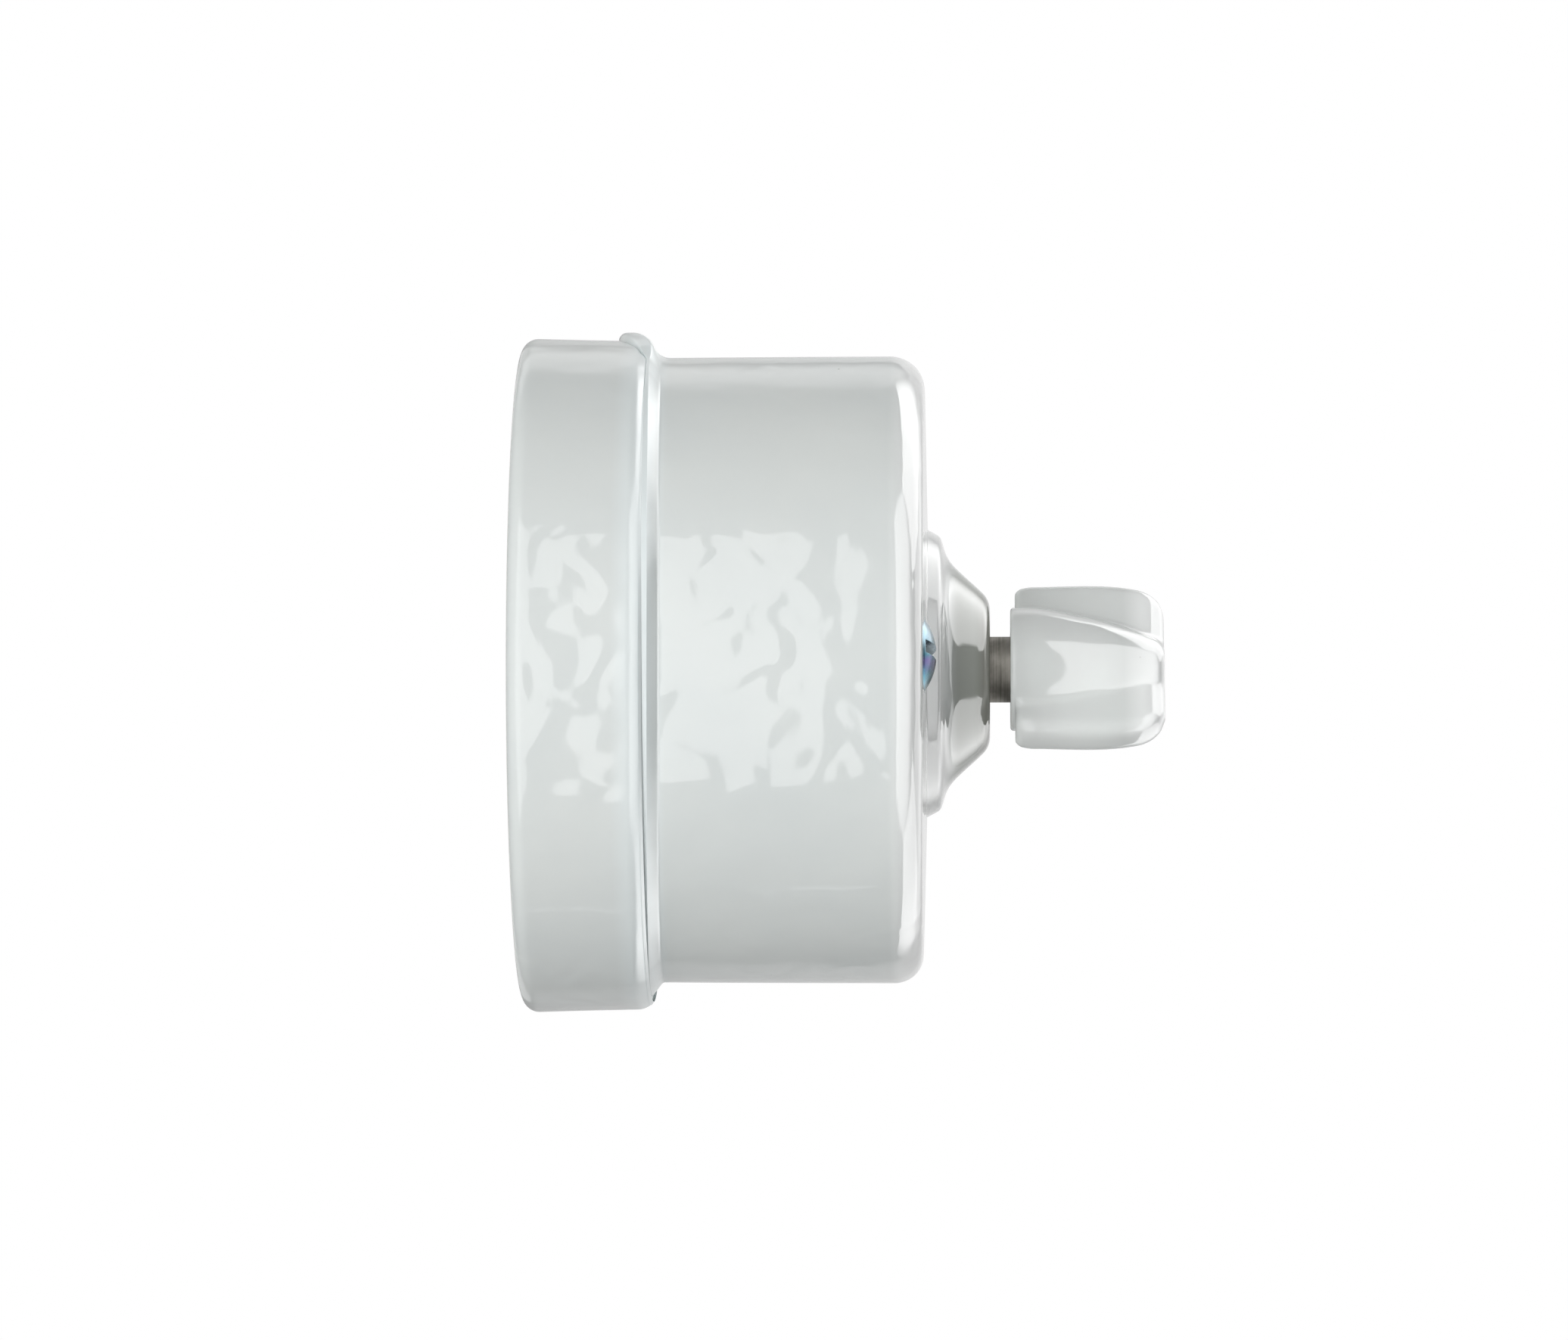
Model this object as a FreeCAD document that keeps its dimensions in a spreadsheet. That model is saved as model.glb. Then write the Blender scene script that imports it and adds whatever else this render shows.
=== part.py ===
"""Porcelain rotary switch for a wall: a glazed base and cover, a wing knob and the snap switch inside.

Every piece is drawn on the switch's own axis: local +Z runs out of the wall along the spindle,
local +Y is up and local +X is right as seen from the front. STAND turns that into the wall frame,
where the back face lies in the plane y = 0 and the knob points along -Y. Lengths are millimetres.
"""
import FreeCAD, Part
import math
import os
import re
import Sketcher

SIZES = [
    # Porcelain base: a dish with a thick floor, standing in a round rim.
    ("rim_radius", 35.0, "outside of the base at the wall"),
    ("rim_taper", 0.15, "radius that the rim loses towards the front"),
    ("rim_height", 13.3, "wall to the seam between base and cover"),
    ("rim_rear_round", 2.0, "rounding of the rim at the wall"),
    ("rim_front_round", 1.5, "rounding of the rim at the seam"),
    ("rim_drop", 0.6, "how far the base hangs below the spindle's axis"),
    ("floor_height", 6.0, "wall to the top of the base's floor"),
    ("spigot_wall", 2.0, "thickness of the collar that the cover drops over"),
    ("spigot_rise", 2.4, "collar above the seam"),
    ("spigot_round", 0.5, "rounding on top of the collar"),
    ("dish_round", 0.3, "rounding where wall and floor meet"),
    # Porcelain cover: a deep cap with a flared foot, a crowned face and a bell round the spindle.
    ("cover_radius", 32.5, "outside of the cover"),
    ("cover_wall", 4.3, "thickness of the cover's side"),
    ("spigot_play", 0.8, "room between the cover's side and the base's collar"),
    ("cover_front", 41.6, "wall to the edge of the cover's face"),
    ("cover_crown", 0.4, "rise of the face from its edge to the bell"),
    ("cover_front_round", 3.0, "rounding round the face"),
    ("face_thickness", 5.2, "thickness of the cover's face at its edge"),
    ("foot_radius", 34.2, "outside of the cover's flared foot"),
    ("foot_edge", 0.25, "straight edge of the foot at the seam"),
    ("foot_cove", 1.5, "hollow between the foot and the side"),
    ("bell_foot_radius", 15.6, "bell where it leaves the face"),
    ("bell_shoulder_radius", 14.0, "top of the bell's shoulder"),
    ("bell_shoulder_rise", 1.4, "shoulder above the face"),
    ("bell_neck_radius", 12.3, "bell just above its shoulder"),
    ("bell_tip_radius", 7.7, "bell at its front"),
    ("bell_front", 48.5, "wall to the front of the bell"),
    ("bell_round", 0.9, "rounding on the bell's edges"),
    ("bell_socket_radius", 8.5, "hollow behind the bell"),
    ("bell_thickness", 5.0, "porcelain in front of that hollow"),
    ("spindle_hole_play", 0.38, "room round the spindle in the cover"),
    # Locating nose on the cover, which drops into a notch at the top of the rim.
    ("nose_crest", 0.9, "height of the nose above the top of the rim"),
    ("nose_bend", 26.6, "radius of the nose seen from the front"),
    ("nose_span", 59.0, "angle that the nose covers"),
    ("nose_rear", 3.15, "rear end of the nose behind the seam"),
    ("nose_crown", 1.6, "length of the nose along its crest"),
    ("nose_depth", 2.7, "thickness of the nose"),
    ("nose_round", 0.75, "rounding on the nose"),
    ("nose_play", 0.15, "room round the nose in its notch"),
    # Screws that hold the cover to two pillars.
    ("pillar_radius", 3.5, "outside of a pillar"),
    ("pillar_clear", 0.4, "room between a pillar and the base's wall"),
    ("pillar_play", 0.4, "room between a pillar and the cover's face"),
    ("cover_head_radius", 3.75, "head of a cover screw"),
    ("cover_head_height", 1.55, "height of that head"),
    ("cover_head_dome", 1.3, "rounding of that head"),
    ("cover_head_recess", 0.1, "spot face below the edge of the face"),
    ("cover_screw_length", 13.5, "shank below the head"),
    ("pillar_thread_radius", 2.0, "cover and pillar screws"),
    ("slot_share", 0.35, "width of a screw's slot for each unit of the head's radius"),
    ("slot_sink", 0.6, "depth of a screw's slot for each unit of the head's height"),
    ("thread_play", 0.05, "room between a screw and its thread"),
    ("thread_runout", 0.5, "room beyond the tip of a screw"),
    ("hole_play", 0.3, "room between a screw and a plain hole"),
    ("rear_seat", 3.2, "wall to the seats of the screws from the back"),
    ("pillar_head_radius", 3.4, "head of a pillar screw"),
    ("pillar_head_height", 2.4, "height of that head"),
    ("pillar_screw_length", 10.8, "shank of a pillar screw"),
    # Holes in the base for the wall screws and the two leads.
    ("wall_hole_inset", 4.5, "centre of a wall screw hole from the base's wall"),
    ("wall_hole_radius", 2.5, "wall screw hole"),
    ("lead_hole_clear", 0.6, "room between a lead hole and the base's wall"),
    ("lead_hole_radius", 4.0, "lead hole"),
    # Ceramic block that carries the terminals and the yoke.
    ("block_height", 6.0, "thickness of the block"),
    ("block_clear", 1.2, "room between the block and a pillar"),
    ("block_arm_half", 5.0, "half width of the block there"),
    ("block_end_clear", 4.9, "room above and below the block"),
    ("block_reach_half", 7.0, "half width of the block there"),
    ("foot_bush_radius", 4.0, "footstep bush in the block"),
    ("foot_bush_floor", 1.5, "bottom of that bush"),
    # Terminals, contact springs and their rivets.
    ("terminal_inset", 0.2, "terminal from the edge of the block"),
    ("terminal_length", 6.2, "terminal along the radius"),
    ("terminal_width", 7.0, "terminal across the radius"),
    ("terminal_height", 9.0, "height of a terminal"),
    ("wire_hole_radius", 1.3, "wire hole in a terminal"),
    ("wire_hole_rise", 4.6, "wire hole above the terminal's foot"),
    ("terminal_thread_radius", 1.5, "screws in a terminal"),
    ("terminal_head_radius", 2.75, "head of a terminal's screws"),
    ("terminal_head_height", 2.0, "height of that head"),
    ("terminal_bolt_grip", 2.5, "bolt inside the terminal"),
    ("clamp_screw_grip", 3.0, "clamp screw inside the terminal"),
    ("spring_thickness", 0.5, "contact and detent springs"),
    ("blade_clear", 0.65, "room between a contact spring and its terminal"),
    ("contact_gap", 0.25, "rotor to a contact rivet"),
    ("rivet_head_height", 0.5, "contact head of a rivet"),
    ("rivet_head_radius", 1.4, "contact head of a rivet"),
    ("rivet_shank_radius", 0.8, "shank of a rivet"),
    ("rivet_tail_height", 0.4, "closed end of a rivet"),
    ("rivet_tail_radius", 1.2, "closed end of a rivet"),
    ("blade_width", 6.0, "width of a contact spring"),
    ("blade_rise", 8.0, "height of a contact spring"),
    # Yoke with the spindle's bush.
    ("yoke_thickness", 1.5, "strip of the yoke"),
    ("yoke_width", 11.0, "width of that strip"),
    ("yoke_toe_inset", 1.0, "yoke's feet from the ends of the block"),
    ("yoke_foot", 5.5, "foot outside a leg"),
    ("yoke_screw_inset", 3.7, "yoke screws from the ends of the block"),
    ("yoke_screw_radius", 1.5, "yoke screw"),
    ("yoke_head_radius", 2.2, "head of a yoke screw"),
    ("yoke_head_height", 2.0, "height of that head"),
    ("yoke_screw_grip", 4.5, "yoke screw inside the block"),
    ("bush_radius", 4.5, "threaded part of the bush"),
    ("bush_flange_radius", 6.5, "flange of the bush"),
    ("bush_flange_height", 1.5, "thickness of that flange"),
    ("bush_rise", 5.0, "threaded part above the flange"),
    ("nut_half_flats", 6.5, "half the width of the bush nut across its flats"),
    ("nut_height", 3.0, "thickness of the bush nut"),
    # Spindle and what turns with it.
    ("spindle_radius", 3.42, "visible part of the spindle"),
    ("running_play", 0.06, "room between the spindle and its bushes"),
    ("journal_radius", 2.45, "spindle in the footstep bush"),
    ("square_half", 2.38, "half the width of the spindle's square"),
    ("square_play", 0.04, "room round that square"),
    ("rotor_gap", 1.0, "block to the rotor"),
    ("rotor_lower_height", 3.4, "ceramic below the rotor's contact"),
    ("rotor_contact_height", 1.6, "thickness of the rotor's contact"),
    ("rotor_contact_half", 5.2, "half width of the rotor's contact"),
    ("rotor_upper_height", 2.5, "ceramic above the rotor's contact"),
    ("cam_gap", 0.3, "rotor to the detent cam"),
    ("cam_half", 6.0, "half the width of the square detent cam"),
    ("cam_round", 1.8, "rounding on the cam's corners"),
    ("cam_height", 3.8, "thickness of the cam"),
    ("collar_radius", 5.0, "collar of the spindle"),
    ("collar_height", 1.3, "thickness of the collar"),
    ("washer_thickness", 0.45, "thrust washer on the collar"),
    ("ring_thickness", 0.8, "retaining ring in front of the bush"),
    ("ring_radius", 5.0, "outside of that ring"),
    ("groove_depth", 0.45, "ring groove in the spindle"),
    ("groove_play", 0.05, "room beside the ring in its groove"),
    ("ring_opening", 3.0, "opening of the retaining ring"),
    ("end_play", 0.15, "free movement along the axis"),
    # Detent springs on the lower leg of the yoke.
    ("detent_gap", 0.2, "cam to a detent spring at rest"),
    ("detent_reach", 9.0, "detent spring above the axis"),
    ("detent_tab", 5.4, "length of the tab on the yoke's leg"),
    ("detent_screw_inset", 2.97, "screw of a tab from the outside of its spring"),
    ("detent_width", 3.4, "width of a detent spring"),
    ("detent_screw_radius", 0.9, "screw that holds a tab"),
    ("detent_head_radius", 1.5, "head of that screw"),
    ("detent_head_height", 1.0, "height of that head"),
    # Knob: a bullet-shaped hub that swells out of a wing, cemented round a threaded insert.
    ("knob_base", 50.6, "wall to the back of the knob"),
    ("knob_front", 66.6, "wall to the front of the knob"),
    ("knob_turn", 34.0, "wing from upright, clockwise, at rest"),
    ("wing_rear", 0.7, "back of the knob to the wing"),
    ("wing_half_width", 9.85, "half the width of the wing"),
    ("wing_half_thickness", 2.2, "half the thickness of the wing"),
    ("wing_rear_round", 0.6, "rounding at the wing's back"),
    ("wing_front_round", 1.4, "rounding at the wing's front"),
    ("hub_radius", 6.4, "hub of the knob at its back"),
    ("hub_crease", 1.2, "hollow between hub and wing"),
    ("insert_radius", 3.7, "threaded insert in the knob"),
    ("insert_length", 8.0, "length of that insert"),
    ("insert_recess", 0.4, "back of the knob to the insert"),
    ("insert_play", 0.03, "cement round the insert"),
    ("stud_radius", 2.0, "threaded end of the spindle"),
    ("stud_length", 7.5, "length of that end"),
]
NAMES = {name for name, number, meaning in SIZES}

# Lengths that several pieces share, worked out from the sheet.
COVER_BORE = "(cover_radius - cover_wall)"
SPIGOT = f"({COVER_BORE} - spigot_play)"
DISH = f"({SPIGOT} - spigot_wall)"
PILLAR_PLACE = f"({DISH} - pillar_clear - pillar_radius)"
WALL_HOLE_PLACE = f"({DISH} - wall_hole_inset)"
LEAD_HOLE_PLACE = f"({DISH} - lead_hole_clear - lead_hole_radius)"
BLOCK_ARM = f"({PILLAR_PLACE} - pillar_radius - block_clear)"
BLOCK_REACH = f"({DISH} - block_end_clear)"
TERMINAL_PLACE = f"({BLOCK_ARM} - terminal_inset - terminal_length / 2)"
BLADE_OUTSIDE = f"({TERMINAL_PLACE} - terminal_length / 2 - blade_clear)"
BLADE_INSIDE = f"({BLADE_OUTSIDE} - spring_thickness)"
ROTOR_RADIUS = f"({BLADE_INSIDE} - rivet_head_height - contact_gap)"
YOKE_TOE = f"({BLOCK_REACH} - yoke_toe_inset)"
YOKE_OUTSIDE = f"({YOKE_TOE} - yoke_foot)"
YOKE_INSIDE = f"({YOKE_OUTSIDE} - yoke_thickness)"
YOKE_SCREW_PLACE = f"({BLOCK_REACH} - yoke_screw_inset)"
FACE_BACK = "(cover_front - face_thickness)"
PILLAR_TOP = f"({FACE_BACK} - pillar_play)"
HEAD_SEAT = "(cover_front - cover_head_recess)"
BLOCK_TOP = "(floor_height + block_height)"
TERMINAL_FOOT = f"({BLOCK_TOP} + spring_thickness)"
TERMINAL_TOP = f"({TERMINAL_FOOT} + terminal_height)"
YOKE_FOOT_TOP = f"({BLOCK_TOP} + yoke_thickness)"
ROTOR_REAR = f"({BLOCK_TOP} + rotor_gap)"
CONTACT_REAR = f"({ROTOR_REAR} + rotor_lower_height)"
CONTACT_FRONT = f"({CONTACT_REAR} + rotor_contact_height)"
ROTOR_FRONT = f"({CONTACT_FRONT} + rotor_upper_height)"
CAM_REAR = f"({ROTOR_FRONT} + cam_gap)"
CAM_FRONT = f"({CAM_REAR} + cam_height)"
COLLAR_FRONT = f"({CAM_FRONT} + collar_height)"
WASHER_FRONT = f"({COLLAR_FRONT} + washer_thickness)"
FLANGE_REAR = f"({WASHER_FRONT} + end_play)"
YOKE_REAR = f"({FLANGE_REAR} + bush_flange_height)"
YOKE_FRONT = f"({YOKE_REAR} + yoke_thickness)"
BUSH_FRONT = f"({YOKE_REAR} + bush_rise)"
RING_REAR = f"({BUSH_FRONT} + end_play)"
RING_FRONT = f"({RING_REAR} + ring_thickness)"
INSERT_REAR = "(knob_base + insert_recess)"
INSERT_FRONT = f"({INSERT_REAR} + insert_length)"
DETENT_INSIDE = "(cam_half + detent_gap)"
DETENT_OUTSIDE = f"({DETENT_INSIDE} + spring_thickness)"
DETENT_REAR = f"({CAM_REAR} + (cam_height - detent_width) / 2)"
DETENT_FRONT = f"({DETENT_REAR} + detent_width)"
DETENT_MIDDLE = f"({DETENT_REAR} + detent_width / 2)"
DETENT_SCREW = f"({DETENT_OUTSIDE} - detent_screw_inset)"
NOSE_TOP = "(rim_radius - rim_drop + nose_crest)"
NOSE_ROOT = f"({NOSE_TOP} - nose_depth)"
NOSE_CENTRE = f"({NOSE_TOP} - nose_bend)"
NOSE_REAR = "(rim_height - nose_rear)"

# The knob's levels: share of the wing's height, and of its half width, half thickness and hub radius there.
KNOB_LEVELS = [
    (0.0, 0.97, 1.0, 0.99),
    (0.38, 1.0, 1.0, 0.86),
    (0.7, 0.98, 0.98, 0.72),
    (1.0, 0.82, 0.91, 0.42),
]

STAND = FreeCAD.Rotation(FreeCAD.Vector(1, 0, 0), 90)
ACROSS = FreeCAD.Vector(1, 0, 0)
UPRIGHT = FreeCAD.Vector(0, 0, 1)
NEAR = 1e-4

doc = FreeCAD.newDocument("rotary_switch")
sheet = doc.addObject("Spreadsheet::Sheet", "Sizes")
for row, (name, number, meaning) in enumerate(SIZES, 1):
    sheet.set(f"A{row}", str(number))
    sheet.setAlias(f"A{row}", name)
    sheet.set(f"B{row}", meaning)
doc.recompute()

pieces = {}


def sized(text):
    """The expression with each named length read from the sheet."""
    return re.sub(r"[a-z_]+", lambda m: f"Sizes.{m[0]}" if m[0] in NAMES else m[0], text)


def bind(item, field, text):
    item.setExpression(field, sized(text))


def length(name):
    return float(sheet.get(name))


def keep(piece, label):
    """Marks an object as a piece of the switch, with the name of its file."""
    piece.Label = label
    pieces[label] = piece
    return piece


def new_body(name):
    body = doc.addObject("PartDesign::Body", name)
    body.Placement.Rotation = STAND
    return body


def sketch_on(body, role, name, offset=None):
    """A sketch on one of the body's own planes, moved along the plane's normal."""
    plane = next(p for p in body.Origin.OriginFeatures if p.Role == role)
    sketch = body.newObject("Sketcher::SketchObject", name)
    sketch.AttachmentSupport = (plane, "")
    sketch.MapMode = "FlatFace"
    if offset:
        bind(sketch, "AttachmentOffset.Base.z", offset)
    return sketch


def pin(sketch, line, point, across, up):
    """Ties one point of a sketch to two lengths from the sketch's origin."""
    for kind, text, axis in (("DistanceX", across, -2), ("DistanceY", up, -1)):
        if text == "0":
            sketch.addConstraint(Sketcher.Constraint("PointOnObject", line, point, axis))
        else:
            number = sketch.addConstraint(Sketcher.Constraint(kind, -1, 1, line, point, 1.0))
            bind(sketch, f"Constraints[{number}]", text)


def draw_ring(sketch, corners):
    """A closed outline of straight lines through the given corners."""
    first = sketch.GeometryCount
    count = len(corners)
    starts = [FreeCAD.Vector(math.cos(2 * math.pi * i / count), math.sin(2 * math.pi * i / count), 0)
              for i in range(count)]
    for i in range(count):
        sketch.addGeometry(Part.LineSegment(starts[i], starts[(i + 1) % count]), False)
    for i in range(count):
        following = first + (i + 1) % count
        sketch.addConstraint(Sketcher.Constraint("Coincident", first + i, 2, following, 1))
    for i, (across, up) in enumerate(corners):
        pin(sketch, first + i, 1, across, up)


def draw_circle(sketch, place, radius):
    circle = sketch.addGeometry(Part.Circle(FreeCAD.Vector(1, 1, 0), FreeCAD.Vector(0, 0, 1), 1), False)
    pin(sketch, circle, 3, *place)
    number = sketch.addConstraint(Sketcher.Constraint("Radius", circle, 1.0))
    bind(sketch, f"Constraints[{number}]", radius)


def rectangle(left, bottom, right, top):
    return [(left, bottom), (right, bottom), (right, top), (left, top)]


def soften(body, radius, chosen):
    """Rounds the edges of the body that the given test picks."""
    base = body.Tip
    names = [f"Edge{i}" for i, edge in enumerate(base.Shape.Edges, 1) if chosen(edge)]
    if not names:
        raise RuntimeError(f"{body.Name} has no edge to round by {radius}")
    rounding = body.newObject("PartDesign::Fillet", f"{body.Name}_round")
    rounding.Base = (base, names)
    bind(rounding, "Radius", radius)
    doc.recompute()


def rings_at(sketch, corners):
    """A test for the circular edges that the numbered corners of a turned outline make."""
    spots = [sketch.Geometry[i].StartPoint for i in corners]

    def chosen(edge):
        if not isinstance(edge.Curve, Part.Circle):
            return False
        ring = edge.Curve
        return any(abs(ring.Radius - s.x) < NEAR and abs(ring.Center.z - s.y) < NEAR for s in spots)

    return chosen


def turned(name, corners, rounds=()):
    """A piece turned on the switch's axis from an outline of radius and height."""
    body = new_body(name)
    sketch = sketch_on(body, "XZ_Plane", f"{name}_outline")
    draw_ring(sketch, corners)
    turning = body.newObject("PartDesign::Revolution", f"{name}_turning")
    turning.Profile = sketch
    turning.ReferenceAxis = (sketch, ["V_Axis"])
    turning.Angle = 360
    doc.recompute()
    for radius, numbers in rounds:
        soften(body, radius, rings_at(sketch, numbers))
    return body


def prism(name, corners, rear, front):
    """A piece of even outline between two heights."""
    body = new_body(name)
    sketch = sketch_on(body, "XY_Plane", f"{name}_outline", rear)
    draw_ring(sketch, corners)
    pad = body.newObject("PartDesign::Pad", f"{name}_pad")
    pad.Profile = sketch
    bind(pad, "Length", f"{front} - {rear}")
    doc.recompute()
    return body


def strip(name, role, corners, width):
    """A bent strip: its edge-on outline in an upright plane through the axis, and its width."""
    body = new_body(name)
    sketch = sketch_on(body, role, f"{name}_outline")
    draw_ring(sketch, corners)
    pad = body.newObject("PartDesign::Pad", f"{name}_pad")
    pad.Profile = sketch
    pad.SideType = "Symmetric"
    bind(pad, "Length", width)
    doc.recompute()
    return body


def sink(body, sketch, depth):
    """Cuts a sketch into the body against the sketch's normal, and makes sure that it cut."""
    before = body.Shape.Volume
    pocket = body.newObject("PartDesign::Pocket", f"{sketch.Name}_cut")
    pocket.Profile = sketch
    bind(pocket, "Length", depth)
    doc.recompute()
    if body.Shape.Volume > before - NEAR:
        raise RuntimeError(f"{sketch.Name} cuts nothing from {body.Name}")


def drill(body, name, places, radius, rear, front, role="XY_Plane"):
    """Round holes between two distances along a plane's normal, which is the axis unless another is named."""
    sketch = sketch_on(body, role, f"{body.Name}_{name}", front)
    for place in places:
        draw_circle(sketch, place, radius)
    sink(body, sketch, f"{front} - {rear}")


def mill(body, name, corners, rear, front):
    """A straight-sided hole or slot along the axis between two heights."""
    sketch = sketch_on(body, "XY_Plane", f"{body.Name}_{name}", front)
    draw_ring(sketch, corners)
    sink(body, sketch, f"{front} - {rear}")


def square(half):
    return rectangle(f"-{half}", f"-{half}", half, half)


def set_place(body, across="0", up="0"):
    """Moves a piece that was drawn on the axis to its own place on the wall plane."""
    bind(body, ".Placement.Base.x", across)
    bind(body, ".Placement.Base.z", up)


def mirror_of(source, name, normal):
    """The same piece on the other side of the axis."""
    mirror = doc.addObject("Part::Mirroring", name)
    mirror.Source = source
    mirror.Normal = normal
    return mirror


def pair_of(source, label, normal=ACROSS):
    """Two like fasteners on opposite sides of the axis, as one group."""
    group = doc.addObject("Part::Compound", label)
    group.Links = [source, mirror_of(source, f"{label}_other", normal)]
    keep(group, label)


def left_and_right(body, name):
    """Keeps a piece as the right one of two, and its mirror image as the left one."""
    keep(body, f"{name}_right")
    keep(mirror_of(body, f"{name}_left", ACROSS), f"{name}_left")


def both_sides(text):
    return [(text, "0"), (f"-{text}", "0")]


def draw_nose_axis(sketch, rise):
    """The upright line that the nose and its notch are turned about, a height above the sketch's origin."""
    axis = sketch.addGeometry(Part.LineSegment(FreeCAD.Vector(1, 0, 0), FreeCAD.Vector(1, 1, 0)), True)
    pin(sketch, axis, 1, f"{rise} + {NOSE_CENTRE}", "0")
    pin(sketch, axis, 2, f"{rise} + {NOSE_CENTRE}", "rim_height")


def build_base():
    """Base with its collar, the notch for the nose and the holes from the back."""
    base = turned("base", [
        ("0", "0"), ("rim_radius", "0"), ("rim_radius - rim_taper", "rim_height"),
        (SPIGOT, "rim_height"), (SPIGOT, "rim_height + spigot_rise"),
        (DISH, "rim_height + spigot_rise"), (DISH, "floor_height"), ("0", "floor_height"),
    ], [("rim_rear_round", [1]), ("rim_front_round", [2]), ("spigot_round", [4, 5]), ("dish_round", [6])])
    set_place(base, up="-rim_drop")

    def seated(across, up="0"):
        return across, f"rim_drop + {up}"

    pillars = [seated(PILLAR_PLACE), seated(f"-{PILLAR_PLACE}")]
    bolts = [seated(TERMINAL_PLACE), seated(f"-{TERMINAL_PLACE}")]
    slant = "cos(45)"
    wall, lead = f"{WALL_HOLE_PLACE} * {slant}", f"{LEAD_HOLE_PLACE} * {slant}"
    wall_holes = [seated(wall, wall), seated(f"-{wall}", f"-{wall}")]
    lead_holes = [seated(lead, f"-{lead}"), seated(f"-{lead}", lead)]
    drill(base, "pillar_heads", pillars, "pillar_head_radius + hole_play", "0", "rear_seat")
    drill(base, "pillar_holes", pillars, "pillar_thread_radius + hole_play", "rear_seat", "floor_height")
    drill(base, "bolt_heads", bolts, "terminal_head_radius + hole_play", "0", "rear_seat")
    drill(base, "bolt_holes", bolts, "terminal_thread_radius + hole_play", "rear_seat", "floor_height")
    drill(base, "wall_holes", wall_holes, "wall_hole_radius", "0", "floor_height")
    drill(base, "lead_holes", lead_holes, "lead_hole_radius", "0", "floor_height")

    notch = sketch_on(base, "YZ_Plane", "base_notch")
    root = f"rim_drop + {NOSE_ROOT} - nose_play"
    outside = f"rim_drop + {NOSE_TOP} + rim_front_round"
    draw_ring(notch, rectangle(root, f"{NOSE_REAR} - nose_play", outside, "rim_height + nose_play"))
    draw_nose_axis(notch, "rim_drop")
    before = base.Shape.Volume
    groove = base.newObject("PartDesign::Groove", "base_notch_cut")
    groove.Profile = notch
    groove.ReferenceAxis = (notch, ["Axis0"])
    groove.Midplane = True
    bind(groove, "Angle", "nose_span + 2 * nose_play / nose_bend * 180 / pi")
    doc.recompute()
    if base.Shape.Volume > before - NEAR:
        raise RuntimeError("the notch for the nose cuts nothing")
    keep(base, "base")


def build_cover():
    """Cover with its flared foot, crowned face, bell and locating nose."""
    crown = "cover_front + cover_crown"
    shoulder = f"{crown} + bell_shoulder_rise"
    hole = "spindle_radius + spindle_hole_play"
    cover = turned("cover", [
        (COVER_BORE, "rim_height"), ("foot_radius", "rim_height"), ("foot_radius", "rim_height + foot_edge"),
        ("cover_radius", "rim_height + foot_edge"), ("cover_radius", "cover_front"),
        ("bell_foot_radius", crown), ("bell_shoulder_radius", shoulder), ("bell_neck_radius", shoulder),
        ("bell_tip_radius", "bell_front"), (hole, "bell_front"), (hole, "bell_front - bell_thickness"),
        ("bell_socket_radius", "bell_front - bell_thickness"), ("bell_socket_radius", FACE_BACK),
        (COVER_BORE, FACE_BACK),
    ], [("foot_cove", [3]), ("cover_front_round", [4, 13]), ("bell_round", [5, 6, 8])])

    ramp = f"{NOSE_REAR} + nose_crown"
    buried = f"(({COVER_BORE} + cover_radius) / 2)"
    sketch = sketch_on(cover, "YZ_Plane", "nose_outline")
    draw_ring(sketch, [
        (NOSE_ROOT, NOSE_REAR), (NOSE_TOP, NOSE_REAR), (NOSE_TOP, ramp),
        (buried, f"{ramp} + {NOSE_TOP} - {buried}"), (buried, "rim_height"), (NOSE_ROOT, "rim_height"),
    ])
    draw_nose_axis(sketch, "0")
    nose = cover.newObject("PartDesign::Revolution", "nose")
    nose.Profile = sketch
    nose.ReferenceAxis = (sketch, ["Axis0"])
    nose.Midplane = True
    bind(nose, "Angle", "nose_span")
    doc.recompute()
    bend, rear = length("nose_bend"), length("rim_height") - length("nose_rear")
    crown_end = rear + length("nose_crown")

    def on_crest(edge):
        if not isinstance(edge.Curve, Part.Circle):
            return False
        at_end = min(abs(edge.Curve.Center.z - rear), abs(edge.Curve.Center.z - crown_end)) < NEAR
        return at_end and abs(edge.Curve.Radius - bend) < NEAR

    soften(cover, "nose_round", on_crest)
    places = both_sides(PILLAR_PLACE)
    drill(cover, "screw_holes", places, "pillar_thread_radius + hole_play", FACE_BACK, HEAD_SEAT)
    drill(cover, "spot_faces", places, "cover_head_radius + hole_play", HEAD_SEAT, f"({crown})")
    keep(cover, "cover")


def build_screw(name, head, height, shank, seat, tip, from_back=False):
    """A slotted screw on the axis, with its head in front of the seat or, from the back, behind it."""
    if from_back:
        top = f"({seat} - {height})"
        outline = [("0", top), (head, top), (head, seat), (shank, seat), (shank, tip), ("0", tip)]
        slot_rear, slot_front = top, f"({top} + {height} * slot_sink)"
    else:
        top = f"({seat} + {height})"
        outline = [("0", tip), (shank, tip), (shank, seat), (head, seat), (head, top), ("0", top)]
        slot_rear, slot_front = f"({top} - {height} * slot_sink)", top
    screw = turned(name, outline)
    slot = rectangle(f"-2 * {head}", f"-slot_share / 2 * {head}", f"2 * {head}", f"slot_share / 2 * {head}")
    return screw, slot, slot_rear, slot_front


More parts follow.
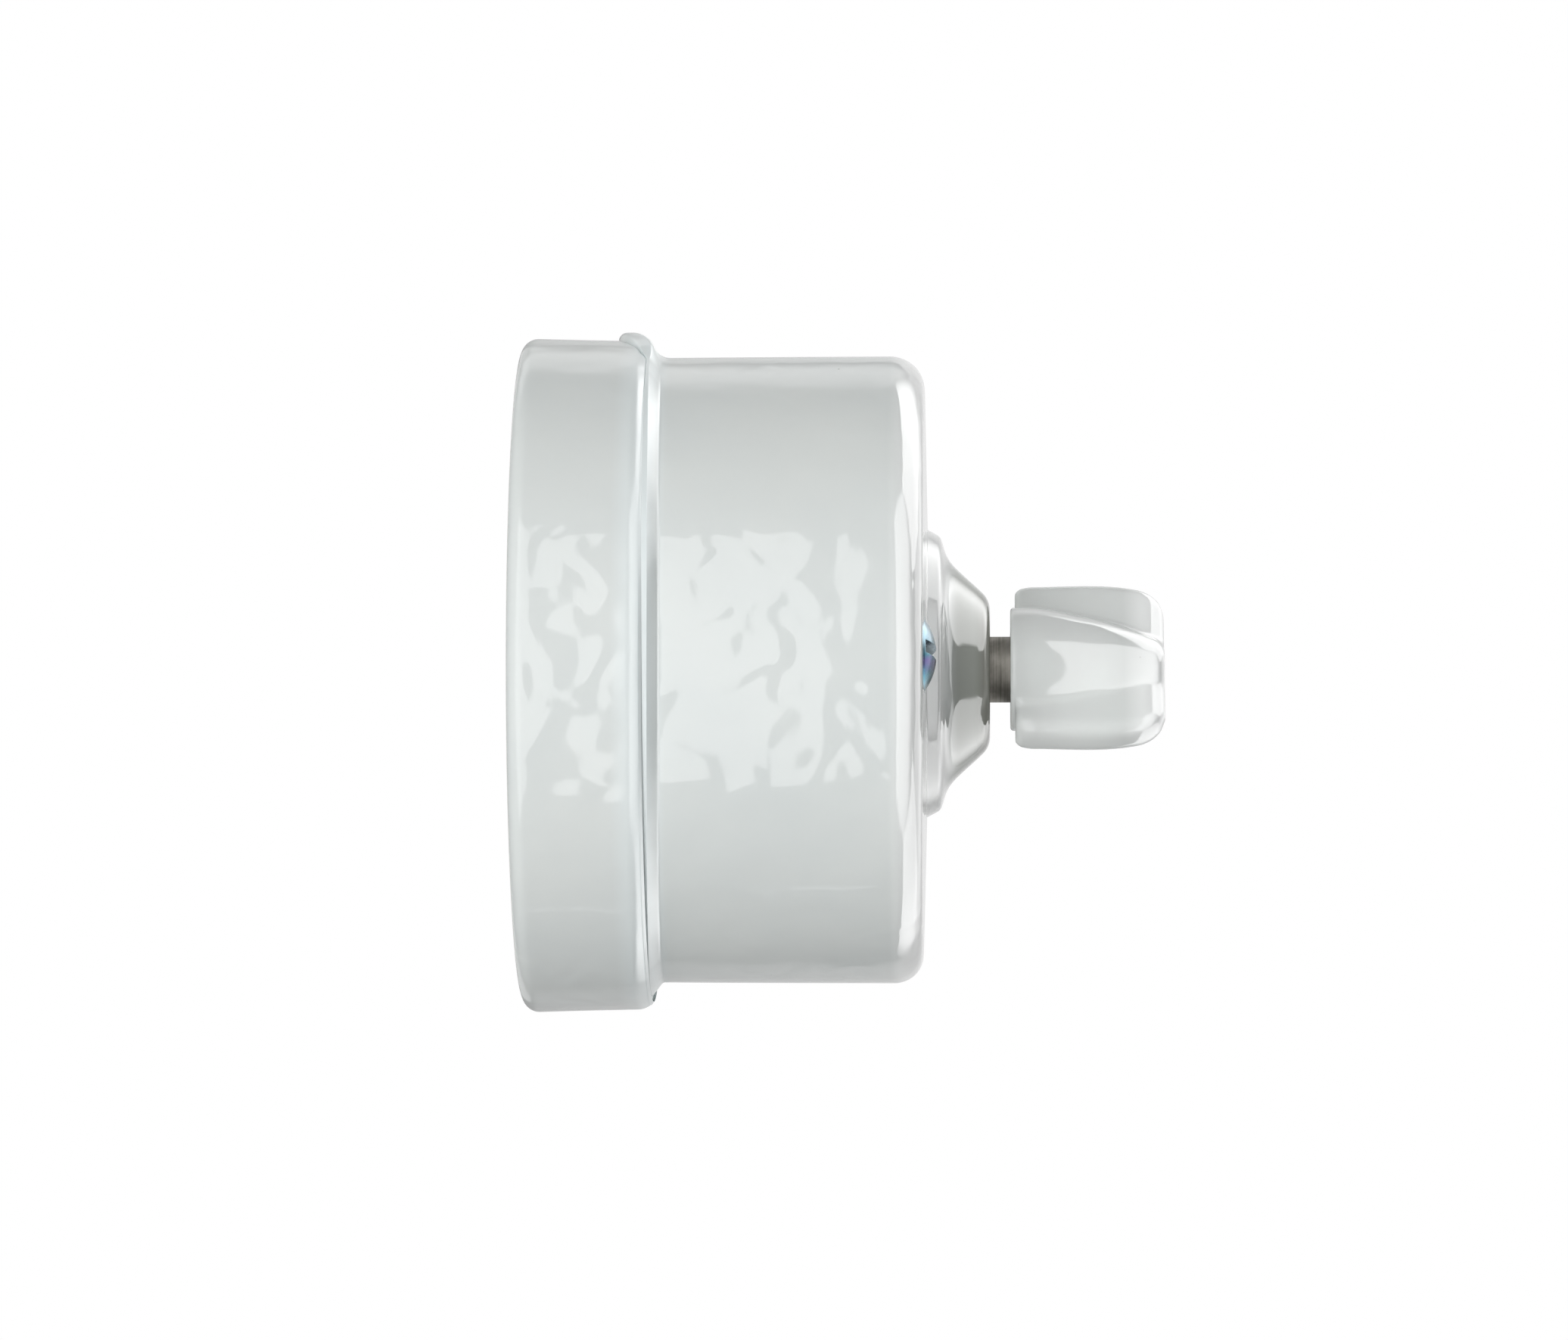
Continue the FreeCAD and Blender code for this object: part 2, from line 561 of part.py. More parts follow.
def build_cover_screws():
    """The two dome-headed screws in the cover's face."""
    screw, slot, rear, front = build_screw("cover_screw", "cover_head_radius", "cover_head_height",
                                           "pillar_thread_radius", HEAD_SEAT,
                                           f"{HEAD_SEAT} - cover_screw_length")
    edge = length("cover_head_radius")
    top = length("cover_front") - length("cover_head_recess") + length("cover_head_height")

    def on_top(e):
        return (isinstance(e.Curve, Part.Circle) and abs(e.Curve.Radius - edge) < NEAR
                and abs(e.Curve.Center.z - top) < NEAR)

    soften(screw, "cover_head_dome", on_top)
    mill(screw, "slot", slot, rear, front)
    set_place(screw, across=PILLAR_PLACE)
    pair_of(screw, "cover_screws")


def build_pillars():
    """The two pillars that the cover's screws enter, and the screws that hold them from the back."""
    pillar = turned("pillar", [
        ("0", "floor_height"), ("pillar_radius", "floor_height"),
        ("pillar_radius", PILLAR_TOP), ("0", PILLAR_TOP),
    ])
    thread = "pillar_thread_radius + thread_play"
    drill(pillar, "front_thread", [("0", "0")], thread,
          f"({HEAD_SEAT} - cover_screw_length - thread_runout)", PILLAR_TOP)
    drill(pillar, "rear_thread", [("0", "0")], thread,
          "floor_height", "(rear_seat + pillar_screw_length + thread_runout)")
    set_place(pillar, across=PILLAR_PLACE)
    left_and_right(pillar, "pillar")
    screw, slot, rear, front = build_screw("pillar_screw", "pillar_head_radius", "pillar_head_height",
                                           "pillar_thread_radius", "rear_seat",
                                           "rear_seat + pillar_screw_length", from_back=True)
    mill(screw, "slot", slot, rear, front)
    set_place(screw, across=PILLAR_PLACE)
    pair_of(screw, "pillar_screws")


def build_block():
    """The ceramic block with its footstep bush."""
    block = prism("switch_block", [
        (BLOCK_ARM, "-block_arm_half"), (BLOCK_ARM, "block_arm_half"),
        ("block_reach_half", BLOCK_REACH), ("-block_reach_half", BLOCK_REACH),
        (f"-{BLOCK_ARM}", "block_arm_half"), (f"-{BLOCK_ARM}", "-block_arm_half"),
        ("-block_reach_half", f"-{BLOCK_REACH}"), ("block_reach_half", f"-{BLOCK_REACH}"),
    ], "floor_height", BLOCK_TOP)
    drill(block, "bush_hole", [("0", "0")], "foot_bush_radius + running_play", "floor_height", BLOCK_TOP)
    drill(block, "bolt_holes", both_sides(TERMINAL_PLACE), "terminal_thread_radius + hole_play",
          "floor_height", BLOCK_TOP)
    drill(block, "yoke_threads", [("0", YOKE_SCREW_PLACE), ("0", f"-{YOKE_SCREW_PLACE}")],
          "yoke_screw_radius + thread_play", f"({BLOCK_TOP} - yoke_screw_grip - thread_runout)", BLOCK_TOP)
    keep(block, "switch_block")
    bore = "journal_radius + running_play"
    keep(turned("footstep_bush", [
        ("0", "floor_height"), ("foot_bush_radius", "floor_height"), ("foot_bush_radius", BLOCK_TOP),
        (bore, BLOCK_TOP), (bore, "floor_height + foot_bush_floor"), ("0", "floor_height + foot_bush_floor"),
    ]), "footstep_bush")


def build_terminals():
    """Terminals, the contact springs that they clamp, the contact rivets and all their screws."""
    inner, outer = f"{TERMINAL_PLACE} - terminal_length / 2", f"{TERMINAL_PLACE} + terminal_length / 2"
    thread = "terminal_thread_radius + thread_play"
    terminal = prism("terminal", rectangle(inner, "-terminal_width / 2", outer, "terminal_width / 2"),
                     TERMINAL_FOOT, TERMINAL_TOP)
    centre = [(TERMINAL_PLACE, "0")]
    drill(terminal, "bolt_thread", centre, thread, TERMINAL_FOOT,
          f"({TERMINAL_FOOT} + terminal_bolt_grip + thread_runout / 2)")
    drill(terminal, "clamp_thread", centre, thread, f"({TERMINAL_FOOT} + wire_hole_rise)", TERMINAL_TOP)
    drill(terminal, "wire_hole", [(TERMINAL_PLACE, f"{TERMINAL_FOOT} + wire_hole_rise")],
          "wire_hole_radius", "(-terminal_width / 2)", "(terminal_width / 2)", "XZ_Plane")
    left_and_right(terminal, "terminal")

    spring = strip("contact_spring", "XZ_Plane", [
        (BLADE_INSIDE, BLOCK_TOP), (outer, BLOCK_TOP), (outer, TERMINAL_FOOT), (BLADE_OUTSIDE, TERMINAL_FOOT),
        (BLADE_OUTSIDE, f"{BLOCK_TOP} + blade_rise"), (BLADE_INSIDE, f"{BLOCK_TOP} + blade_rise"),
    ], "blade_width")
    drill(spring, "bolt_hole", centre, "terminal_thread_radius + hole_play", BLOCK_TOP, TERMINAL_FOOT)
    contact_middle = f"({CONTACT_REAR} + rotor_contact_height / 2)"
    drill(spring, "rivet_hole", [("0", contact_middle)], "rivet_shank_radius + thread_play",
          BLADE_INSIDE, BLADE_OUTSIDE, "YZ_Plane")
    left_and_right(spring, "contact_spring")

    tail = "-spring_thickness - rivet_tail_height"
    rivet = turned("contact_rivet", [
        ("0", tail), ("rivet_tail_radius", tail), ("rivet_tail_radius", "-spring_thickness"),
        ("rivet_shank_radius", "-spring_thickness"), ("rivet_shank_radius", "0"), ("rivet_head_radius", "0"),
        ("rivet_head_radius", "rivet_head_height"), ("0", "rivet_head_height"),
    ])
    rivet.Placement.Rotation = FreeCAD.Rotation(FreeCAD.Vector(0, 1, 0), -90)
    set_place(rivet, across=BLADE_INSIDE)
    bind(rivet, ".Placement.Base.y", f"-{contact_middle}")
    pair_of(rivet, "contact_rivets")

    bolt, slot, rear, front = build_screw("terminal_bolt", "terminal_head_radius", "terminal_head_height",
                                          "terminal_thread_radius", "rear_seat",
                                          f"{TERMINAL_FOOT} + terminal_bolt_grip", from_back=True)
    mill(bolt, "slot", slot, rear, front)
    set_place(bolt, across=TERMINAL_PLACE)
    pair_of(bolt, "terminal_bolts")
    clamp, slot, rear, front = build_screw("clamp_screw", "terminal_head_radius", "terminal_head_height",
                                           "terminal_thread_radius", TERMINAL_TOP,
                                           f"{TERMINAL_TOP} - clamp_screw_grip")
    mill(clamp, "slot", slot, rear, front)
    set_place(clamp, across=TERMINAL_PLACE)
    pair_of(clamp, "clamp_screws")


def build_yoke():
    """The steel yoke over the rotor, its screws, and the bush and nut in its top."""
    upper = [(YOKE_INSIDE, YOKE_REAR), (YOKE_INSIDE, BLOCK_TOP), (YOKE_TOE, BLOCK_TOP),
             (YOKE_TOE, YOKE_FOOT_TOP), (YOKE_OUTSIDE, YOKE_FOOT_TOP), (YOKE_OUTSIDE, YOKE_FRONT)]
    lower = [(f"-{across}", up) for across, up in reversed(upper)]
    yoke = strip("yoke", "YZ_Plane", upper + lower, "yoke_width")
    drill(yoke, "bush_hole", [("0", "0")], "bush_radius + thread_play", YOKE_REAR, YOKE_FRONT)
    drill(yoke, "screw_holes", [("0", YOKE_SCREW_PLACE), ("0", f"-{YOKE_SCREW_PLACE}")],
          "yoke_screw_radius + hole_play", BLOCK_TOP, YOKE_FOOT_TOP)
    drill(yoke, "detent_threads", [(DETENT_SCREW, DETENT_MIDDLE), (f"-{DETENT_SCREW}", DETENT_MIDDLE)],
          "detent_screw_radius + thread_play", YOKE_INSIDE, YOKE_OUTSIDE, "XZ_Plane")
    keep(yoke, "yoke")
    screw, slot, rear, front = build_screw("yoke_screw", "yoke_head_radius", "yoke_head_height",
                                           "yoke_screw_radius", YOKE_FOOT_TOP,
                                           f"{BLOCK_TOP} - yoke_screw_grip")
    mill(screw, "slot", slot, rear, front)
    set_place(screw, up=YOKE_SCREW_PLACE)
    pair_of(screw, "yoke_screws", UPRIGHT)

    bore = "spindle_radius + running_play"
    keep(turned("bearing_bush", [
        (bore, FLANGE_REAR), ("bush_flange_radius", FLANGE_REAR), ("bush_flange_radius", YOKE_REAR),
        ("bush_radius", YOKE_REAR), ("bush_radius", BUSH_FRONT), (bore, BUSH_FRONT),
    ]), "bearing_bush")
    point, side = "nut_half_flats / cos(30)", "nut_half_flats * tan(30)"
    nut_front = f"({YOKE_FRONT} + nut_height)"
    nut = prism("bush_nut", [
        (point, "0"), (side, "nut_half_flats"), (f"-{side}", "nut_half_flats"),
        (f"-{point}", "0"), (f"-{side}", "-nut_half_flats"), (side, "-nut_half_flats"),
    ], YOKE_FRONT, nut_front)
    drill(nut, "thread", [("0", "0")], "bush_radius + thread_play", YOKE_FRONT, nut_front)
    keep(nut, "bush_nut")


def build_detents():
    """Leaf springs that press on the cam's flats, screwed to the lower leg of the yoke."""
    tab_end = f"({DETENT_OUTSIDE} - detent_tab)"
    leg, tab = f"-{YOKE_INSIDE}", f"(-{YOKE_INSIDE} + spring_thickness)"
    spring = prism("detent_spring", [
        (tab_end, leg), (DETENT_OUTSIDE, leg), (DETENT_OUTSIDE, "detent_reach"),
        (DETENT_INSIDE, "detent_reach"), (DETENT_INSIDE, tab), (tab_end, tab),
    ], DETENT_REAR, DETENT_FRONT)
    drill(spring, "screw_hole", [(DETENT_SCREW, DETENT_MIDDLE)], "detent_screw_radius + hole_play",
          f"({YOKE_INSIDE} - spring_thickness)", YOKE_INSIDE, "XZ_Plane")
    left_and_right(spring, "detent_spring")
    screw, slot, rear, front = build_screw("detent_screw", "detent_head_radius", "detent_head_height",
                                           "detent_screw_radius", "0", "-spring_thickness - yoke_thickness")
    mill(screw, "slot", slot, rear, front)
    screw.Placement.Rotation = FreeCAD.Rotation()
    set_place(screw, across=DETENT_SCREW, up=tab)
    bind(screw, ".Placement.Base.y", f"-{DETENT_MIDDLE}")
    pair_of(screw, "detent_screws")


def build_spindle():
    """The spindle: journal, square, collar, bearing length, ring groove and threaded end."""
    foot, shoulder = "floor_height + foot_bush_floor + end_play", f"({BLOCK_TOP} + end_play)"
    groove, groove_front = "spindle_radius - groove_depth", f"{RING_FRONT} + groove_play"
    spindle = turned("spindle", [
        ("0", foot), ("journal_radius", foot), ("journal_radius", shoulder), ("spindle_radius", shoulder),
        ("spindle_radius", CAM_FRONT), ("collar_radius", CAM_FRONT), ("collar_radius", COLLAR_FRONT),
        ("spindle_radius", COLLAR_FRONT), ("spindle_radius", f"{RING_REAR} - groove_play"),
        (groove, f"{RING_REAR} - groove_play"), (groove, groove_front), ("spindle_radius", groove_front),
        ("spindle_radius", INSERT_REAR), ("stud_radius", INSERT_REAR),
        ("stud_radius", f"{INSERT_REAR} + stud_length"), ("0", f"{INSERT_REAR} + stud_length"),
    ])
    flats = sketch_on(spindle, "XY_Plane", "spindle_flats", CAM_FRONT)
    draw_circle(flats, ("0", "0"), "collar_radius")
    draw_ring(flats, square("square_half"))
    sink(spindle, flats, f"{CAM_FRONT} - {shoulder}")
    keep(spindle, "spindle")
    bore = "spindle_radius + running_play"
    keep(turned("thrust_washer", [
        (bore, COLLAR_FRONT), ("collar_radius", COLLAR_FRONT),
        ("collar_radius", WASHER_FRONT), (bore, WASHER_FRONT),
    ]), "thrust_washer")
    bore = "spindle_radius - groove_depth + running_play"
    ring = turned("retaining_ring", [
        (bore, RING_REAR), ("ring_radius", RING_REAR), ("ring_radius", RING_FRONT), (bore, RING_FRONT),
    ])
    mill(ring, "opening", rectangle("-ring_opening / 2", "0", "ring_opening / 2", "2 * ring_radius"),
         RING_REAR, RING_FRONT)
    keep(ring, "retaining_ring")


def build_rotor():
    """Two ceramic discs with the bridging contact between them, and the square detent cam."""
    hole = square("(square_half + square_play)")
    layers = [("rotor_lower", ROTOR_REAR, CONTACT_REAR), ("rotor_upper", CONTACT_FRONT, ROTOR_FRONT),
              ("rotor_contact", CONTACT_REAR, CONTACT_FRONT)]
    for name, rear, front in layers:
        disc = turned(name, [("0", rear), (ROTOR_RADIUS, rear), (ROTOR_RADIUS, front), ("0", front)])
        mill(disc, "square", hole, rear, front)
        if name == "rotor_contact":
            for label, side in (("right_side", ""), ("left_side", "-")):
                waste = rectangle(f"{side}rotor_contact_half", f"-{ROTOR_RADIUS}",
                                  f"{side}2 * {ROTOR_RADIUS}", ROTOR_RADIUS)
                mill(disc, label, waste, rear, front)
        keep(disc, name)
    cam = prism("detent_cam", square("cam_half"), CAM_REAR, CAM_FRONT)
    half = length("cam_half")

    def on_corner(edge):
        ends = [v.Point for v in edge.Vertexes]
        return all(abs(abs(p.x) - half) < NEAR and abs(abs(p.y) - half) < NEAR for p in ends) and (
            abs(ends[0].z - ends[-1].z) > NEAR)

    soften(cam, "cam_round", on_corner)
    mill(cam, "square", hole, CAM_REAR, CAM_FRONT)
    keep(cam, "detent_cam")


def knob_level(height, half_width, half_thickness, hub):
    """Outline of the knob at one height: a round hub that flows through creases into a round-ended wing."""
    crease = length("hub_crease")
    reach = math.sqrt((hub + crease) ** 2 - (half_thickness + crease) ** 2)
    share = hub / (hub + crease)
    diagonal = half_thickness * math.sqrt(0.5)
    end = half_width - half_thickness

    def at(across, up):
        return FreeCAD.Vector(across, up, height)

    middle = math.atan2(half_thickness + crease, reach) / 2 + math.pi / 4
    creased = at(reach - crease * math.cos(middle), half_thickness + crease - crease * math.sin(middle))
    on_hub = at(reach * share, (half_thickness + crease) * share)
    on_wing = at(reach, half_thickness)
    wing_end = at(end, half_thickness)
    half_way = math.atan2(reach, half_thickness + crease) / 2
    hub_middle = at(hub * math.sin(half_way), hub * math.cos(half_way))
    quarter = [(Part.Arc, (at(0, hub), hub_middle, on_hub)),
               (Part.Arc, (on_hub, creased, on_wing)),
               (Part.LineSegment, (on_wing, wing_end)),
               (Part.Arc, (wing_end, at(end + diagonal, diagonal), at(half_width, 0)))]
    edges = []
    for flip_across, flip_up in ((1, 1), (1, -1), (-1, -1), (-1, 1)):
        turn = [(kind, [at(p.x * flip_across, p.y * flip_up) for p in points]) for kind, points in quarter]
        if flip_across * flip_up < 0:
            turn = [(kind, points[::-1]) for kind, points in turn[::-1]]
        line, *others = [kind(*points).toBSpline() for kind, points in turn]
        for other in others:
            line.join(other)
        edges.append(line.toShape())
    return Part.Wire(edges)


def build_knob():
    """The porcelain wing knob, lofted from four levels, with the threaded insert cemented in its hub."""
    rear, front = length("knob_base"), length("knob_front")
    wing = rear + length("wing_rear")
    width, thickness, hub = length("wing_half_width"), length("wing_half_thickness"), length("hub_radius")
    wires = [knob_level(wing + height * (front - wing), width * w, thickness * t, hub * r)
             for height, w, t, r in KNOB_LEVELS]
    body = Part.makeLoft(wires, True, False)
    top = [e for e in body.Edges if all(abs(v.Z - front) < NEAR for v in e.Vertexes)]
    body = body.makeFillet(length("wing_front_round"), top)
    bottom = [e for e in body.Edges if all(abs(v.Z - wing) < NEAR for v in e.Vertexes)]
    body = body.makeFillet(length("wing_rear_round"), bottom)
    root = Part.makeCylinder(hub, wing - rear + length("hub_crease"), FreeCAD.Vector(0, 0, rear))
    bore_length = length("insert_recess") + length("insert_length") + length("insert_play")
    bore = Part.makeCylinder(length("insert_radius") + length("insert_play"), bore_length,
                             FreeCAD.Vector(0, 0, rear))
    knob = doc.addObject("Part::Feature", "knob")
    knob.Shape = body.fuse(root).cut(bore).removeSplitter()
    turn = FreeCAD.Rotation(FreeCAD.Vector(0, 0, 1), 90 - length("knob_turn"))
    knob.Placement = FreeCAD.Placement(FreeCAD.Vector(), STAND.multiply(turn))
    keep(knob, "knob")
    thread = "stud_radius + thread_play"
    keep(turned("knob_insert", [
        (thread, INSERT_REAR), ("insert_radius", INSERT_REAR),
        ("insert_radius", INSERT_FRONT), (thread, INSERT_FRONT),
    ]), "knob_insert")


def export():
    """Checks every object and writes each piece to its own file."""
    doc.recompute()
    failed = [o.Name for o in doc.Objects if {"Invalid", "Error"} & set(o.State)]
    failed += [n for n, piece in pieces.items() if piece.Shape.isNull() or not piece.Shape.isValid()]
    if failed:
        raise RuntimeError(f"not built: {failed}")
    os.makedirs("parts", exist_ok=True)
    for name, piece in pieces.items():
        piece.Shape.exportStep(f"parts/{name}.step")


build_base()
build_cover()
build_cover_screws()
build_pillars()
build_block()
build_terminals()
build_yoke()
build_detents()
build_spindle()
build_rotor()
build_knob()
export()
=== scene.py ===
"""Dresses a porcelain rotary switch: base, cover, wing knob, screws, inner metal and a plain studio."""
import math
from types import SimpleNamespace

import bmesh
import bpy
import numpy as np
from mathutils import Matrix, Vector


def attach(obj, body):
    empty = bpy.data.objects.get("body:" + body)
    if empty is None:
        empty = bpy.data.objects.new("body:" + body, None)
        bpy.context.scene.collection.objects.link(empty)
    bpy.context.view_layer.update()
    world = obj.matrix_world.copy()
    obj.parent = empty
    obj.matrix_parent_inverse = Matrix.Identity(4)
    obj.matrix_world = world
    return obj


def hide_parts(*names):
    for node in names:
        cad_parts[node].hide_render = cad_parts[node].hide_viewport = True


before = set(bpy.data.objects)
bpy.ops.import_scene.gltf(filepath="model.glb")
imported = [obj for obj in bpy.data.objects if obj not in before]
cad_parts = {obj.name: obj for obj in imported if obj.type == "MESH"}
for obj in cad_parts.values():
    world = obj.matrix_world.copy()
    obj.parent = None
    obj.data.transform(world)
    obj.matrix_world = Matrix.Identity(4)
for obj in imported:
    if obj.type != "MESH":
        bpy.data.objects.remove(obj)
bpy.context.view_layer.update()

bl_info = {
    "name": "Porcelain rotary switch",
    "version": (1, 0, 0),
    "blender": (4, 5, 0),
    "location": "View3D > Sidebar > Switch",
    "description": "Dresses a surface rotary switch in glazed porcelain and metal, in a plain studio",
    "category": "Object",
}

MM = 0.001
HOUSING = "housing"
TURNING_SET = "turning_set"
IMAGE_WIDTH = 2072
SENSOR = 36.0

# Steps round the axis of the large turned pieces and of small holes.
TURNS = 384
HOLE_TURNS = 72
MERGE = 2e-7
SHARP_ANGLE = math.radians(35.0)

# What the camera and the lamps face, and how high the studio's floor lies, in metres.
AIM = Vector((0.0, -0.0271, 0.0))
FLOOR = -0.14

# Nodes that keep their construction shape, by finish.
BRASS_NODES = ("bearing_bush", "bush_nut", "clamp_screws", "contact_rivets", "contact_spring_left",
               "contact_spring_right", "footstep_bush", "knob_insert", "pillar_left", "pillar_right",
               "rotor_contact", "terminal_bolts", "terminal_left", "terminal_right", "thrust_washer")
STEEL_NODES = ("detent_cam", "detent_screws", "pillar_screws", "yoke", "yoke_screws")
SPRING_NODES = ("detent_spring_left", "detent_spring_right", "retaining_ring")
SPINDLE_NODES = ("spindle",)
STEATITE_NODES = ("rotor_lower", "rotor_upper", "switch_block")


def linear(red, green, blue):
    """A screen colour from 0 to 255 as linear light."""
    shares = (red / 255.0, green / 255.0, blue / 255.0)
    return tuple(s / 12.92 if s <= 0.04045 else ((s + 0.055) / 1.055) ** 2.4 for s in shares)


def length(label, millimetres, meaning):
    """A length of the switch, given in millimetres."""
    return bpy.props.FloatProperty(name=label, description=meaning, default=millimetres * MM,
                                   min=0.0, precision=5, subtype="DISTANCE", unit="LENGTH")


def rotation(label, degrees, meaning):
    """An angle of the knob or the camera, given in degrees."""
    return bpy.props.FloatProperty(name=label, description=meaning, default=math.radians(degrees),
                                   subtype="ANGLE", unit="ROTATION")


def colour(label, red, green, blue, meaning):
    """A colour of the switch, given as it looks on a screen."""
    return bpy.props.FloatVectorProperty(name=label, description=meaning, size=3, min=0.0, max=1.0,
                                         default=linear(red, green, blue), subtype="COLOR")


class SwitchSizes(bpy.types.PropertyGroup):
    """Lengths of the pieces that are shaped here."""
    rim_radius: length("Rim radius", 34.93, "Outside of the base at the wall")
    rim_taper: length("Rim taper", 0.21, "How much narrower the base is at the seam")
    rim_rear_round: length("Rim rear round", 1.75, "Rounding of the rim at the wall")
    rim_front_round: length("Rim front round", 2.2, "Rounding of the rim at the seam")
    rim_drop: length("Rim drop", 0.53, "How far the base hangs below the spindle's axis")
    seam: length("Seam height", 13.3, "Wall to the seam between base and cover")
    floor: length("Floor height", 6.0, "Wall to the top of the base's floor")
    rear_seat: length("Rear seat", 3.2, "Wall to the seats of the screws from the back")
    collar_radius: length("Collar radius", 27.4, "Outside of the collar inside the cover")
    collar_rise: length("Collar rise", 2.4, "Collar above the seam")
    dish_radius: length("Dish radius", 25.4, "Inside of the collar")
    cover_radius: length("Cover radius", 32.58, "Outside of the cover")
    cover_bore: length("Cover bore", 28.2, "Inside of the cover")
    cover_front: length("Cover front", 41.6, "Wall to the edge of the cover's face")
    cover_crown: length("Cover crown", 0.4, "Rise of the face from its edge to the bell")
    cover_round: length("Cover round", 3.0, "Rounding round the face")
    face_thickness: length("Face thickness", 5.2, "Thickness of the cover's face")
    foot_radius: length("Foot radius", 34.05, "Outside of the cover's flared foot")
    bell_foot: length("Bell foot", 14.95, "Bell where it leaves the face")
    bell_shoulder: length("Bell shoulder", 14.2, "Top of the bell's shoulder")
    bell_rise: length("Bell rise", 1.36, "Shoulder above the face")
    bell_tip: length("Bell tip", 7.6, "Bell at its front")
    bell_front: length("Bell front", 48.5, "Wall to the front of the bell")
    bell_socket: length("Bell socket", 8.5, "Hollow behind the bell")
    bell_thickness: length("Bell thickness", 5.0, "Porcelain in front of that hollow")
    spindle_hole: length("Spindle hole", 3.8, "Hole for the spindle")
    nose_top: length("Nose top", 35.3, "Crest of the nose above the axis")
    nose_bend: length("Nose bend", 26.6, "Radius of the nose seen from the front")
    nose_depth: length("Nose depth", 2.7, "Thickness of the nose")
    nose_rear: length("Nose rear", 3.4, "Rear end of the nose behind the seam")
    nose_play: length("Nose play", 0.03, "Room round the nose in its notch")
    screw_place: length("Screw place", 21.5, "Cover and pillar screws from the axis")
    screw_seat: length("Screw seat", 41.5, "Wall to the seats of the cover screws")
    head_radius: length("Head radius", 3.75, "Head of a cover screw")
    head_height: length("Head height", 1.55, "Height of that head")
    head_edge: length("Head edge", 0.28, "Upright edge of that head")
    slot_width: length("Slot width", 1.31, "Slot of a cover screw")
    slot_depth: length("Slot depth", 1.08, "Depth of that slot")
    shank_radius: length("Shank radius", 2.0, "Shank of a cover screw")
    shank_length: length("Shank length", 13.5, "Shank below the head")
    bolt_place: length("Bolt place", 13.5, "Terminal bolts from the axis")
    wall_hole_place: length("Wall hole place", 20.9, "Wall screw holes from the axis")
    lead_hole_place: length("Lead hole place", 20.8, "Lead holes from the axis")
    knob_rear: length("Knob rear", 50.6, "Wall to the back of the knob")
    knob_front: length("Knob front", 66.6, "Wall to the front of the knob")
    wing_rear: length("Wing rear", 0.5, "Back of the knob to the wing")
    wing_half_thickness: length("Wing half thickness", 2.2, "Half the thickness of the wing")
    hub_crease: length("Hub crease", 1.3, "Hollow between hub and wing")
    insert_radius: length("Insert radius", 3.73, "Bore for the threaded insert")
    insert_depth: length("Insert depth", 8.45, "Depth of that bore")


class SwitchColours(bpy.types.PropertyGroup):
    """Colours of the finishes, and how the knob and the camera stand."""
    glaze: colour("Glaze", 214, 219, 218, "Glaze of the base and the cover")
    # Partly painted light: the hollow at the seam gets a lighter, bluer glaze, partly glaze running together
    # there and partly the light falling into it.
    pooled_glaze_and_painted_light: colour("Pooled glaze", 226, 234, 235, "Glaze where it runs together in a hollow")
    # Painted highlight: a whiter glaze round the face's edge, over the face and shoulder, and on the knob's
    # tip.
    edge_painted_highlight: colour("Glaze at the edge", 246, 248, 247, "Glaze round the face and on the shoulder")
    # Painted shade: the bell gets a darker, greener glaze than the rest of the cover.
    bell_painted_shade: colour("Glaze of the bell", 177, 181, 174, "Glaze on the bell")
    # Painted shade: a still darker tone on the bell's lip, next to the knob.
    bell_lip_painted_shade: colour("Glaze of the lip", 136, 135, 125, "Thin glaze on the lip of the bell")
    glaze_thin: colour("Thin glaze", 219, 223, 221, "Glaze where it is thin")
    biscuit: colour("Biscuit", 214, 208, 196, "Unglazed porcelain at the wall")
    knob_glaze: colour("Knob glaze", 214, 216, 215, "Glaze of the knob")
    speck: colour("Speck", 92, 84, 74, "Small dark specks in the glaze")
    # The screws' tints are laid out by height as painted light and shade: bright zinc towards the top of each
    # head, teal and violet below.
    zinc: colour("Zinc", 90, 109, 118, "Bright part of the cover screws")
    zinc_teal: colour("Zinc teal", 38, 76, 88, "Teal part of the cover screws")
    zinc_violet: colour("Zinc violet", 62, 56, 92, "Violet part of the cover screws")
    brass: colour("Brass", 196, 160, 92, "Brass of the terminals and pillars")
    brass_dull: colour("Dull brass", 150, 116, 62, "Tarnish on the brass")
    steel: colour("Steel", 158, 158, 154, "Plated steel")
    steel_dull: colour("Dull steel", 112, 111, 106, "Dull patches on the steel")
    spring: colour("Spring steel", 126, 130, 138, "Detent springs and retaining ring")
    spring_blue: colour("Blued spring", 84, 92, 116, "Heat tint on the springs")
    spindle: colour("Spindle", 152, 149, 142, "Turned spindle")
    spindle_dull: colour("Dull spindle", 106, 103, 97, "Dull streaks on the spindle")
    steatite: colour("Steatite", 226, 217, 198, "Ceramic inside the switch")
    steatite_dark: colour("Dark steatite", 198, 186, 164, "Darker grain of that ceramic")
    knob_turn: rotation("Knob turn", 34.0, "Wing from upright at rest, clockwise")
    view_azimuth: rotation("View azimuth", -88.7, "Camera round the switch")
    view_elevation: rotation("View elevation", -4.0, "Camera above the horizon")
    view_distance: bpy.props.FloatProperty(name="View distance", description="Camera from what it looks at",
                                           default=0.88, subtype="DISTANCE", unit="LENGTH")
    view_focal: bpy.props.FloatProperty(name="Focal length", description="Focal length in image widths",
                                        default=11190.0 / IMAGE_WIDTH)


def sizes():
    """The lengths in millimetres, by name."""
    group = bpy.context.scene.switch_sizes
    return SimpleNamespace(**{name: getattr(group, name) / MM for name in SwitchSizes.__annotations__})


